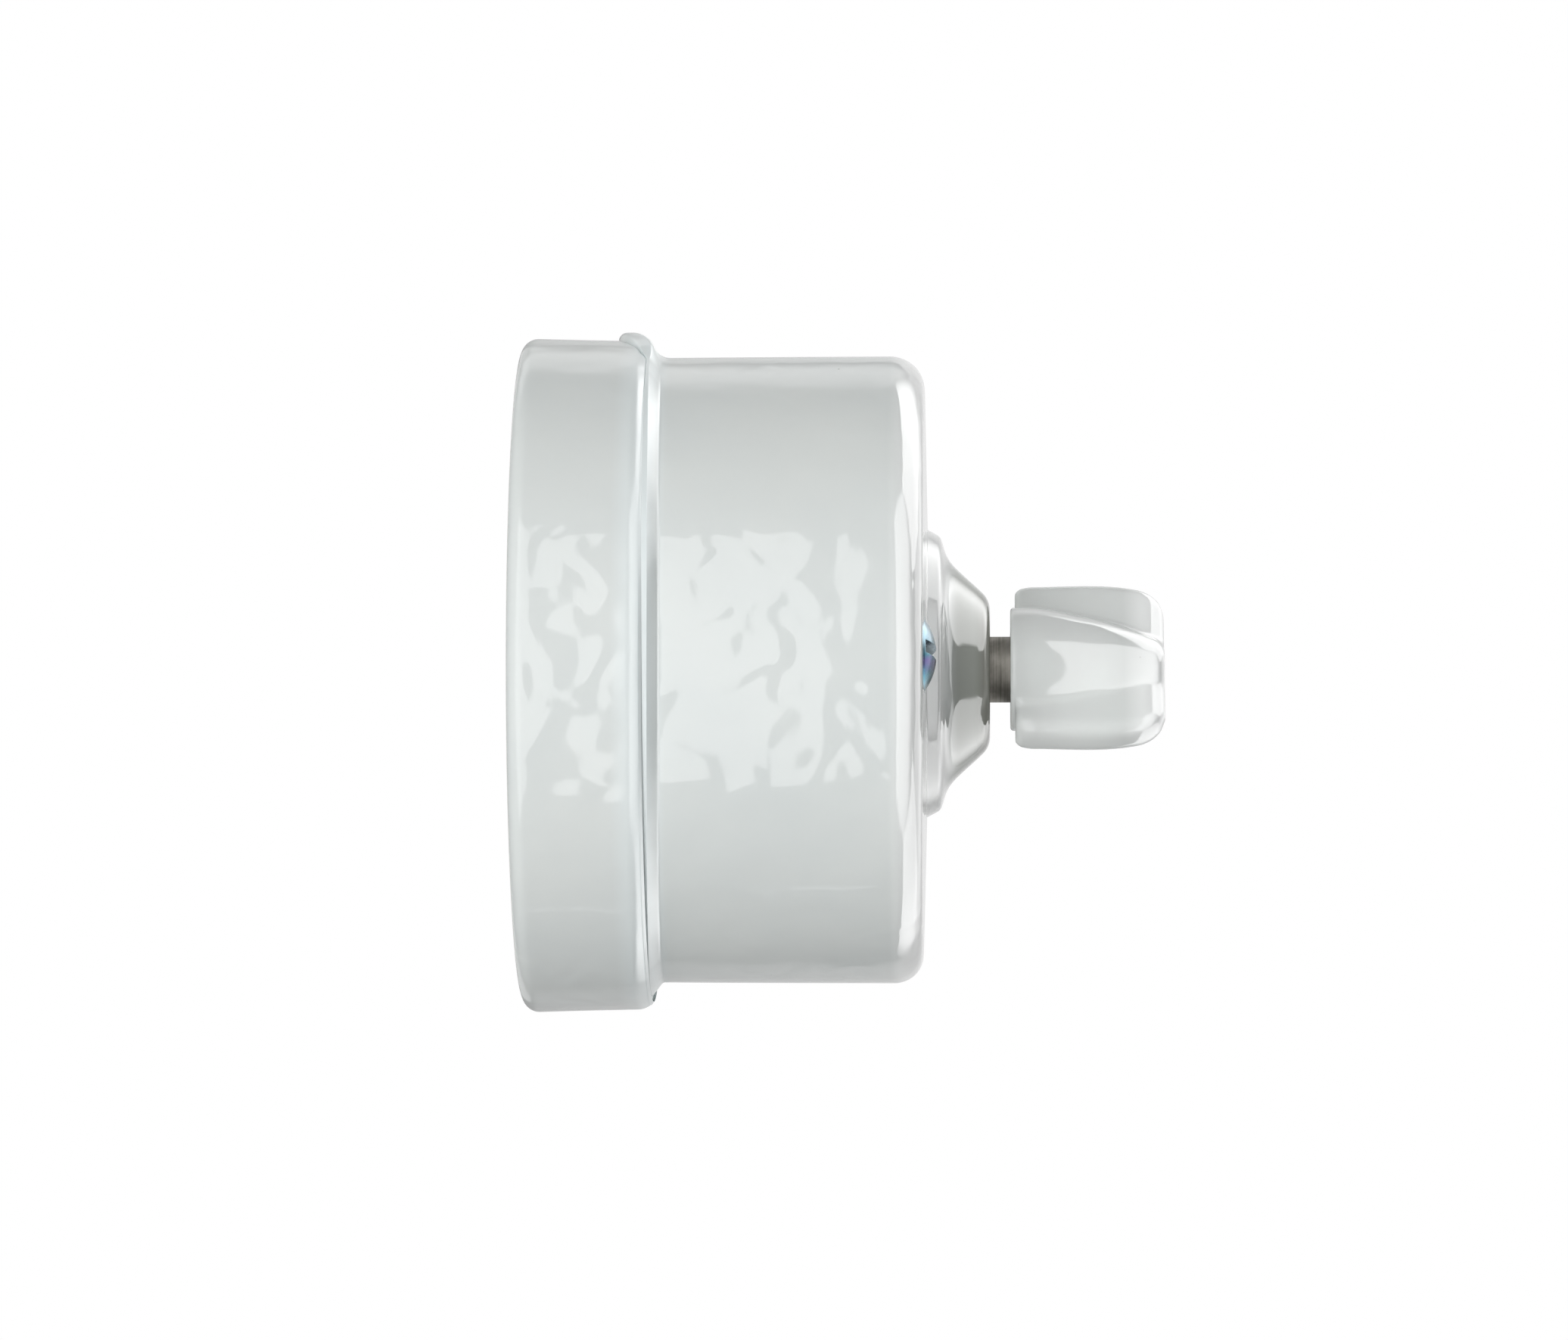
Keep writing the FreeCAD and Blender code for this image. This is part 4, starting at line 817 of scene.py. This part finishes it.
def shared_glaze():
    """The glaze that base and cover have in common."""
    return bpy.data.materials.get("glazed_porcelain") or glaze_finish()


# Radii of the holes in the base's back and roundings of their lips, in millimetres.
PILLAR_RECESS, PILLAR_HOLE, BOLT_RECESS, BOLT_HOLE = 3.7, 2.3, 3.05, 1.8
WALL_HOLE, LEAD_HOLE = 2.5, 4.0
RECESS_LIP, WALL_LIP, LEAD_LIP = 0.35, 0.45, 0.6


class SWITCH_OT_base(bpy.types.Operator):
    """Shapes the base with its notch, its recesses and the holes in its back."""
    bl_idname = "switch.base"
    bl_label = "Porcelain base"

    def execute(self, context):
        size = sizes()
        base = turned("porcelain_base", base_sections(size), False, up=-size.rim_drop)
        seat, floor = size.rear_seat, size.floor + 1.0
        wall = size.wall_hole_place * math.sqrt(0.5)
        lead = size.lead_hole_place * math.sqrt(0.5)
        cutters = []
        for side in (-1.0, 1.0):
            pillar_steps = [(PILLAR_RECESS, seat), (PILLAR_HOLE, floor)]
            bolt_steps = [(BOLT_RECESS, seat), (BOLT_HOLE, floor)]
            cutters.append(round_hole(side * size.screw_place, 0.0, pillar_steps, RECESS_LIP))
            cutters.append(round_hole(side * size.bolt_place, 0.0, bolt_steps, RECESS_LIP))
            cutters.append(round_hole(side * wall, side * wall, [(WALL_HOLE, floor)], WALL_LIP))
            cutters.append(round_hole(side * lead, -side * lead, [(LEAD_HOLE, floor)], LEAD_LIP))
        cut(base, cutters)
        set_finish(base, shared_glaze())
        stand_for(base, HOUSING, "porcelain", "base")
        return {"FINISHED"}


# Hole for a cover screw's shank, room round its head, and spread of the head's seat, in millimetres.
SHANK_HOLE, HEAD_PLAY, SEAT_SPREAD = 2.3, 0.12, 0.35


class SWITCH_OT_cover(bpy.types.Operator):
    """Shapes the cover with its foot, nose, crowned face and bell."""
    bl_idname = "switch.cover"
    bl_label = "Porcelain cover"

    def execute(self, context):
        size = sizes()
        cover = turned("porcelain_cover", cover_sections(size), True)
        face_back = size.cover_front - size.face_thickness - 1.0
        front = size.cover_front + 2.0
        spot = size.head_radius + HEAD_PLAY
        outline = np.array([
            (0.0, face_back), (SHANK_HOLE, face_back), (SHANK_HOLE, size.screw_seat), (spot, size.screw_seat),
            (spot, size.screw_seat + HEAD_PLAY), (spot + SEAT_SPREAD, front), (0.0, front),
        ])
        places = (-size.screw_place, size.screw_place)
        cut(cover, [turned("seat", [outline] * HOLE_TURNS, False, place) for place in places])
        set_finish(cover, shared_glaze())
        stand_for(cover, HOUSING, "porcelain", "cover")
        return {"FINISHED"}


def screw_pair_tree(finish):
    """Geometry Nodes tree that sets a copy of a screw on each side of the axis."""
    tree = bpy.data.node_groups.new("screw_pair", "GeometryNodeTree")

    def socket(name, kind, way="INPUT"):
        return tree.interface.new_socket(name, in_out=way, socket_type=kind)

    socket("Geometry", "NodeSocketGeometry")
    place = socket("Place", "NodeSocketFloat")
    turn = socket("Turn of the second screw", "NodeSocketFloat")
    socket("Geometry", "NodeSocketGeometry", "OUTPUT")
    make, join = tree.nodes.new, tree.links.new
    entry, leave = make("NodeGroupInput"), make("NodeGroupOutput")
    start, offset, spin = (make("ShaderNodeCombineXYZ") for _ in range(3))
    negative, twice, own_turn = (make("ShaderNodeMath") for _ in range(3))
    for node, factor in ((negative, -1.0), (twice, 2.0)):
        node.operation = "MULTIPLY"
        join(entry.outputs["Place"], node.inputs[0])
        node.inputs[1].default_value = factor
    join(negative.outputs[0], start.inputs["X"])
    join(twice.outputs[0], offset.inputs["X"])
    number = make("GeometryNodeInputIndex")
    own_turn.operation = "MULTIPLY"
    join(number.outputs["Index"], own_turn.inputs[0])
    join(entry.outputs["Turn of the second screw"], own_turn.inputs[1])
    join(own_turn.outputs[0], spin.inputs["Y"])
    line = make("GeometryNodeMeshLine")
    line.mode = "OFFSET"
    line.inputs["Count"].default_value = 2
    join(start.outputs["Vector"], line.inputs["Start Location"])
    join(offset.outputs["Vector"], line.inputs["Offset"])
    copies = make("GeometryNodeInstanceOnPoints")
    join(line.outputs["Mesh"], copies.inputs["Points"])
    join(entry.outputs["Geometry"], copies.inputs["Instance"])
    join(spin.outputs["Vector"], copies.inputs["Rotation"])
    real = make("GeometryNodeRealizeInstances")
    join(copies.outputs["Instances"], real.inputs["Geometry"])
    coat = make("GeometryNodeSetMaterial")
    coat.inputs["Material"].default_value = finish
    join(real.outputs["Geometry"], coat.inputs["Geometry"])
    join(coat.outputs["Geometry"], leave.inputs["Geometry"])
    return tree, place.identifier, turn.identifier


SCREW_TURNS = 96
# Chamfers at a screw's tip and under its head, and the bevel of its worn edges, in millimetres.
TIP_CHAMFER, HEAD_CHAMFER, WORN_EDGE = 0.5, 0.1, 0.05
# Turn of the first screw's slot from level, and of the second screw from the first.
SLOT_SLANT = math.radians(12.0)
SECOND_TURN = math.radians(17.0)


class SWITCH_OT_cover_screws(bpy.types.Operator):
    """Shapes one dome-headed slotted screw and sets it on both sides of the bell."""
    bl_idname = "switch.cover_screws"
    bl_label = "Cover screws"

    def execute(self, context):
        size = sizes()
        top = size.screw_seat + size.head_height
        rise = size.head_height - size.head_edge
        dome = (size.head_radius ** 2 + rise ** 2) / (2.0 * rise)
        spread = math.asin(size.head_radius / dome)
        seat, tip = size.screw_seat, size.screw_seat - size.shank_length
        outline = [(0.0, tip), (size.shank_radius - TIP_CHAMFER, tip), (size.shank_radius, tip + TIP_CHAMFER),
                   (size.shank_radius, seat), (size.head_radius - HEAD_CHAMFER, seat),
                   (size.head_radius, seat + HEAD_CHAMFER)]
        for share in np.linspace(0.0, 1.0, 16):
            turn = spread * (1.0 - share)
            outline.append((dome * math.sin(turn), top - dome + dome * math.cos(turn)))
        screws = turned("cover_screw_pair", [np.array(outline)] * SCREW_TURNS, False)
        reach, half, floor = size.head_radius + 1.0, size.slot_width / 2.0, top - size.slot_depth
        box = np.array([(x, y, z) for x in (-reach, reach) for y in (-top - 1.0, -floor)
                        for z in (-half, half)])
        x, z, cosine, sine = box[:, 0], box[:, 2], math.cos(SLOT_SLANT), math.sin(SLOT_SLANT)
        slanted = np.stack((x * cosine + z * sine, box[:, 1], z * cosine - x * sine), axis=-1)
        sides = [(0, 1, 3, 2), (4, 6, 7, 5), (0, 4, 5, 1), (2, 3, 7, 6), (0, 2, 6, 4), (1, 5, 7, 3)]
        cut(screws, [new_piece("slot", slanted, sides)])
        bevel = screws.modifiers.new("worn_edges", "BEVEL")
        bevel.width = WORN_EDGE * MM
        bevel.segments = 2
        bevel.limit_method = "ANGLE"
        bevel.angle_limit = math.radians(40.0)
        bake_modifiers(screws)
        tree, place, turn = screw_pair_tree(zinc_finish())
        pair = screws.modifiers.new("pair", "NODES")
        pair.node_group = tree
        pair[place] = size.screw_place * MM
        pair[turn] = SECOND_TURN
        bake_modifiers(screws)
        tidy_mesh(screws.data)
        stand_for(screws, HOUSING, "blued_screw", "cover_screws")
        return {"FINISHED"}


class SWITCH_OT_knob(bpy.types.Operator):
    """Shapes the knob: a bullet-shaped hub that swells out of a wing."""
    bl_idname = "switch.knob"
    bl_label = "Wing knob"

    def execute(self, context):
        size = sizes()
        rings = knob_levels(size)
        lean = math.pi / 2.0 - colours().knob_turn
        count = len(rings[0][0])
        points = []
        for level, height in rings:
            for along, across in level:
                shifted = along + WING_SHIFT * float(ease(abs(along), 4.0, 8.0))
                x = shifted * math.cos(lean) - across * math.sin(lean)
                z = shifted * math.sin(lean) + across * math.cos(lean)
                points.append((x, -height, z))
        faces = grid_faces(len(rings), count, False, True)
        last = (len(rings) - 1) * count
        quarter = count // 4
        for step in range(2 * quarter):
            one, two = quarter + step, quarter - step
            faces.append((last + one % count, last + (one + 1) % count,
                          last + (two - 1) % count, last + two % count))
        knob = new_piece("wing_knob", points, [face for face in faces if len(set(face)) > 2])
        set_finish(knob, knob_finish())
        stand_for(knob, TURNING_SET, "knob_porcelain", "knob")
        return {"FINISHED"}


def finish_nodes(names, finish):
    """Gives construction nodes that keep their shape one material."""
    for name in names:
        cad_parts[name].material_slots[0].material = finish


class SWITCH_OT_inner_metal(bpy.types.Operator):
    """Finishes the spindle, terminals, pillars, yoke and springs, which keep their construction shape."""
    bl_idname = "switch.inner_metal"
    bl_label = "Inner metal"

    def execute(self, context):
        tint = colours()
        brushed = (900.0, 260.0, 900.0)
        turned_lines = (90.0, 5200.0, 90.0)
        groups = [
            (BRASS_NODES, "worked_brass", tint.brass, tint.brass_dull, brushed, 0.24, 0.42),
            (STEEL_NODES, "plated_steel", tint.steel, tint.steel_dull, brushed, 0.28, 0.48),
            (SPRING_NODES, "spring_strip", tint.spring, tint.spring_blue, brushed, 0.2, 0.36),
            (SPINDLE_NODES, "turned_spindle", tint.spindle, tint.spindle_dull, turned_lines, 0.42, 0.6),
        ]
        for names, *finish in groups:
            finish_nodes(names, metal_finish(*finish))
        return {"FINISHED"}


class SWITCH_OT_inner_ceramic(bpy.types.Operator):
    """Finishes the block and the rotor, which keep their construction shape."""
    bl_idname = "switch.inner_ceramic"
    bl_label = "Inner ceramic"

    def execute(self, context):
        finish_nodes(STEATITE_NODES, steatite_finish())
        return {"FINISHED"}


def direction(azimuth, elevation):
    """From the switch towards a place on the studio's sphere, in degrees; azimuth 0 is in front."""
    a, e = math.radians(azimuth), math.radians(elevation)
    return Vector((math.sin(a) * math.cos(e), -math.cos(a) * math.cos(e), math.sin(e)))


def lamp(name, azimuth, elevation, distance, width, height, level):
    """A soft rectangular lamp that faces the switch and isn't seen in it, its level a share of white."""
    data = bpy.data.lights.new(name, "AREA")
    data.shape = "RECTANGLE"
    data.size, data.size_y = width, height
    data.energy = level * math.pi * width * height
    made = bpy.data.objects.new(name, data)
    towards = direction(azimuth, elevation)
    made.location = AIM + towards * distance
    made.rotation_euler = towards.to_track_quat("Z", "Y").to_euler()
    made.visible_camera = False
    made.visible_glossy = False
    bpy.context.scene.collection.objects.link(made)


def bowl_level(points):
    """Level of the grey bowl in the direction of each point, lower below than above."""
    rise = points[:, 2] / np.linalg.norm(points, axis=1)
    return lerp(0.2, 0.45, ease(rise, -0.5, 0.6))


def shine(piece, levels):
    """Lets a studio piece shine by a level for each of its points, in polished surfaces only."""
    mesh = piece.data
    if len(mesh.vertices) != len(levels):
        raise RuntimeError(f"{piece.name} has {len(mesh.vertices)} points for {len(levels)} levels")
    mesh.attributes.new("level", "FLOAT", "POINT").data.foreach_set("value", levels.astype(np.float32))
    finish = bpy.data.materials.new(piece.name)
    finish.use_nodes = True
    tree = finish.node_tree
    tree.nodes.clear()
    level, emission = tree.nodes.new("ShaderNodeAttribute"), tree.nodes.new("ShaderNodeEmission")
    level.attribute_name = "level"
    output = tree.nodes.new("ShaderNodeOutputMaterial")
    tree.links.new(level.outputs["Fac"], emission.inputs["Strength"])
    tree.links.new(emission.outputs["Emission"], output.inputs["Surface"])
    set_finish(piece, finish)
    for ray in ("camera", "diffuse", "shadow", "transmission", "volume_scatter"):
        setattr(piece, f"visible_{ray}", False)


def card(name, azimuth, elevation, distance, width, height, level, soft_sides, soft_ends, low, ground=None):
    """A card seen in polished surfaces, fading into the bowl or to a ground level, and dimmer at its foot."""
    towards = direction(azimuth, elevation)
    turn = towards.to_track_quat("Z", "Y").to_matrix()
    centre = AIM + towards * distance
    steps = np.sin(np.linspace(-math.pi / 2.0, math.pi / 2.0, 49))
    across, up = (part.ravel() for part in np.meshgrid(steps, steps))
    sideways, upwards = np.array(turn.col[0]), np.array(turn.col[1])
    points = (np.array(centre) + np.outer(across * width / 2.0, sideways)
              + np.outer(up * height / 2.0, upwards))
    piece = new_piece(name, points / MM, grid_faces(len(steps), len(steps), False, False))
    left, right = soft_sides
    fade = ease(1.0 + across, 0.0, 2.0 * left) * ease(1.0 - across, 0.0, 2.0 * right)
    fade = fade * ease(1.0 - abs(up), 0.0, soft_ends)
    start = bowl_level(points) if ground is None else ground
    shine(piece, lerp(start, level * lerp(low, 1.0, (up + 1.0) / 2.0), fade))


def surround():
    """A grey bowl all round the studio."""
    turns, radius = 64, 1.6
    tilts = np.radians(np.linspace(-89.0, 89.0, 40))
    angle = (2.0 * math.pi * np.arange(turns) / turns)[:, None]
    points = np.stack((np.cos(tilts) * np.sin(angle), np.cos(tilts) * np.cos(angle),
                       np.broadcast_to(np.sin(tilts), (turns, len(tilts)))), axis=-1).reshape(-1, 3)
    bowl = new_piece("studio_wall", points * radius / MM, grid_faces(turns, len(tilts), True, False))
    shine(bowl, bowl_level(points))


def studio_floor():
    """A pale round floor that fades into the white background and keeps the shadow."""
    turns, radius = 96, 0.9
    angle = 2.0 * math.pi * np.arange(turns) / turns
    points = [(0.0, 0.0, FLOOR)] + [(radius * math.sin(a), radius * math.cos(a), FLOOR) for a in angle]
    faces = [(0, 1 + step, 1 + (step + 1) % turns) for step in range(turns)]
    floor = new_piece("studio_floor", np.array(points) / MM, faces)
    made = Finish("pale_floor")
    made.shader.inputs["Specular IOR Level"].default_value = 0.0
    body = made.ramp(made.noise(30.0, 4.0), [(0.3, linear(247, 247, 247)), (0.7, linear(252, 252, 252))])
    finish = made.done(body, 0.9)
    flat = made.node("ShaderNodeVectorMath", operation="LENGTH")
    made.join(made.stretched((1.0, 1.0, 0.0)), flat.inputs[0])
    fade = made.ramp(made.math("DIVIDE", flat.outputs["Value"], radius), [(0.35, 0.0), (0.95, 1.0)])
    clear = made.node("ShaderNodeBsdfTransparent")
    blend = made.node("ShaderNodeMixShader")
    made.join(fade, blend.inputs["Fac"])
    made.join(made.shader.outputs["BSDF"], blend.inputs[1])
    made.join(clear.outputs["BSDF"], blend.inputs[2])
    output = [node for node in made.tree.nodes if node.type == "OUTPUT_MATERIAL"][0]
    made.join(blend.outputs["Shader"], output.inputs["Surface"])
    set_finish(floor, finish)
    for ray in ("diffuse", "glossy", "shadow"):
        setattr(floor, f"visible_{ray}", False)


def white_world(front, rear):
    """White for what is seen, straight or in a reflection, and a light that is weaker from the front."""
    world = bpy.data.worlds.new("studio")
    bpy.context.scene.world = world
    world.use_nodes = True
    tree = world.node_tree
    tree.nodes.clear()
    make, join = tree.nodes.new, tree.links.new
    path = make("ShaderNodeLightPath")
    seen = path.outputs["Is Camera Ray"]
    for other in ("Is Glossy Ray", "Is Transmission Ray"):
        either = make("ShaderNodeMath")
        either.operation = "MAXIMUM"
        join(seen, either.inputs[0])
        join(path.outputs[other], either.inputs[1])
        seen = either.outputs[0]
    light, white = make("ShaderNodeBackground"), make("ShaderNodeBackground")
    for background in (light, white):
        background.inputs["Color"].default_value = (1.0, 1.0, 1.0, 1.0)
    white.inputs["Strength"].default_value = 1.0
    place, split = make("ShaderNodeTexCoord"), make("ShaderNodeSeparateXYZ")
    spread = make("ShaderNodeMapRange")
    for name, value in (("From Min", -1.0), ("From Max", 1.0), ("To Min", front), ("To Max", rear)):
        spread.inputs[name].default_value = value
    join(place.outputs["Generated"], split.inputs["Vector"])
    join(split.outputs["Y"], spread.inputs["Value"])
    join(spread.outputs["Result"], light.inputs["Strength"])
    blend, output = make("ShaderNodeMixShader"), make("ShaderNodeOutputWorld")
    join(seen, blend.inputs["Fac"])
    join(light.outputs["Background"], blend.inputs[1])
    join(white.outputs["Background"], blend.inputs[2])
    join(blend.outputs["Shader"], output.inputs["Surface"])


def place_camera():
    """A long lens square to the switch's side, a little below its axis."""
    view = colours()
    data = bpy.data.cameras.new("side_view")
    data.sensor_fit = "HORIZONTAL"
    data.sensor_width = SENSOR
    data.lens = SENSOR * view.view_focal
    data.dof.use_dof = False
    camera = bpy.data.objects.new("side_view", data)
    towards = direction(math.degrees(view.view_azimuth), math.degrees(view.view_elevation))
    camera.location = AIM + towards * view.view_distance
    camera.rotation_euler = towards.to_track_quat("Z", "Y").to_euler()
    bpy.context.scene.collection.objects.link(camera)
    bpy.context.scene.camera = camera


# The world's light on the switch from the front and from the rear, as shares of white.
FRONT_LIGHT, REAR_LIGHT = 0.21, 0.45
# Lamps: name, azimuth, elevation, distance, width, height and level.
LAMPS = (
    ("side_lamp", -110.0, -3.0, 0.9, 0.42, 1.8, 4.0),
    ("far_lamp", 110.0, 10.0, 0.9, 0.75, 1.8, 1.5),
    ("front_lamp", 42.0, 35.0, 1.0, 0.7, 0.7, 2.2),
)
# Cards: as for lamps, then the soft share of the left and right sides and of the ends, the share of the level
# at the foot, and the ground level of a card that doesn't fade into the bowl.
CARDS = (
    ("side_softbox", -115.15, 0.3, 0.9, 0.80, 1.93, 2.3, (0.01, 0.01), 0.02, 0.9),
    ("front_left_softbox", -36.1, 0.0, 0.9, 1.04, 2.6, 4.2, (0.03, 0.3), 0.15, 0.8),
    ("front_right_softbox", 39.0, 0.0, 0.9, 1.02, 2.6, 3.4, (0.12, 0.4), 0.2, 0.85, 1.0),
    ("front_upper_softbox", 30.0, 40.0, 0.88, 1.1, 0.74, 5.5, (0.05, 0.35), 0.05, 1.0, 1.0),
    ("front_lower_softbox", 30.0, -40.0, 0.88, 1.1, 0.74, 4.8, (0.05, 0.35), 0.05, 1.0, 1.0),
    ("far_front_softbox", 76.0, 0.0, 1.1, 1.1, 2.2, 1.0, (0.1, 0.4), 0.3, 0.9),
    ("far_upper_softbox", 91.0, 47.0, 1.2, 2.4, 0.75, 1.2, (0.3, 0.3), 0.8, 1.0),
    ("far_backdrop", 91.0, 0.0, 1.35, 3.0, 2.2, 0.68, (0.3, 0.3), 0.3, 0.9),
)


class SWITCH_OT_stage(bpy.types.Operator):
    """Sets up the floor, the white background, the lamps, the cards and the camera."""
    bl_idname = "switch.stage"
    bl_label = "Studio"

    def execute(self, context):
        bpy.context.scene.view_settings.view_transform = "Standard"
        white_world(FRONT_LIGHT, REAR_LIGHT)
        studio_floor()
        surround()
        for values in LAMPS:
            lamp(*values)
        for values in CARDS:
            card(*values)
        place_camera()
        return {"FINISHED"}


STEPS = (SWITCH_OT_base, SWITCH_OT_cover, SWITCH_OT_cover_screws, SWITCH_OT_knob,
         SWITCH_OT_inner_metal, SWITCH_OT_inner_ceramic, SWITCH_OT_stage)


class SWITCH_PT_sidebar(bpy.types.Panel):
    """Lists the steps that dress the switch."""
    bl_idname = "SWITCH_PT_sidebar"
    bl_label = "Rotary switch"
    bl_space_type = "VIEW_3D"
    bl_region_type = "UI"
    bl_category = "Switch"

    def draw(self, context):
        for step in STEPS:
            self.layout.operator(step.bl_idname)
        for group in (context.scene.switch_sizes, context.scene.switch_colours):
            box = self.layout.box()
            for name in group.__annotations__:
                box.prop(group, name)


CLASSES = (SwitchSizes, SwitchColours, *STEPS, SWITCH_PT_sidebar)


def register():
    """Makes the classes and the scene's own values known."""
    for made in CLASSES:
        bpy.utils.register_class(made)
    bpy.types.Scene.switch_sizes = bpy.props.PointerProperty(type=SwitchSizes)
    bpy.types.Scene.switch_colours = bpy.props.PointerProperty(type=SwitchColours)


def unregister():
    """Takes them away again."""
    del bpy.types.Scene.switch_colours
    del bpy.types.Scene.switch_sizes
    for made in reversed(CLASSES):
        bpy.utils.unregister_class(made)


def main():
    """Builds every piece in order."""
    register()
    bpy.ops.switch.base()
    bpy.ops.switch.cover()
    bpy.ops.switch.cover_screws()
    bpy.ops.switch.knob()
    bpy.ops.switch.inner_metal()
    bpy.ops.switch.inner_ceramic()
    bpy.ops.switch.stage()


if __name__ == "__main__":
    main()
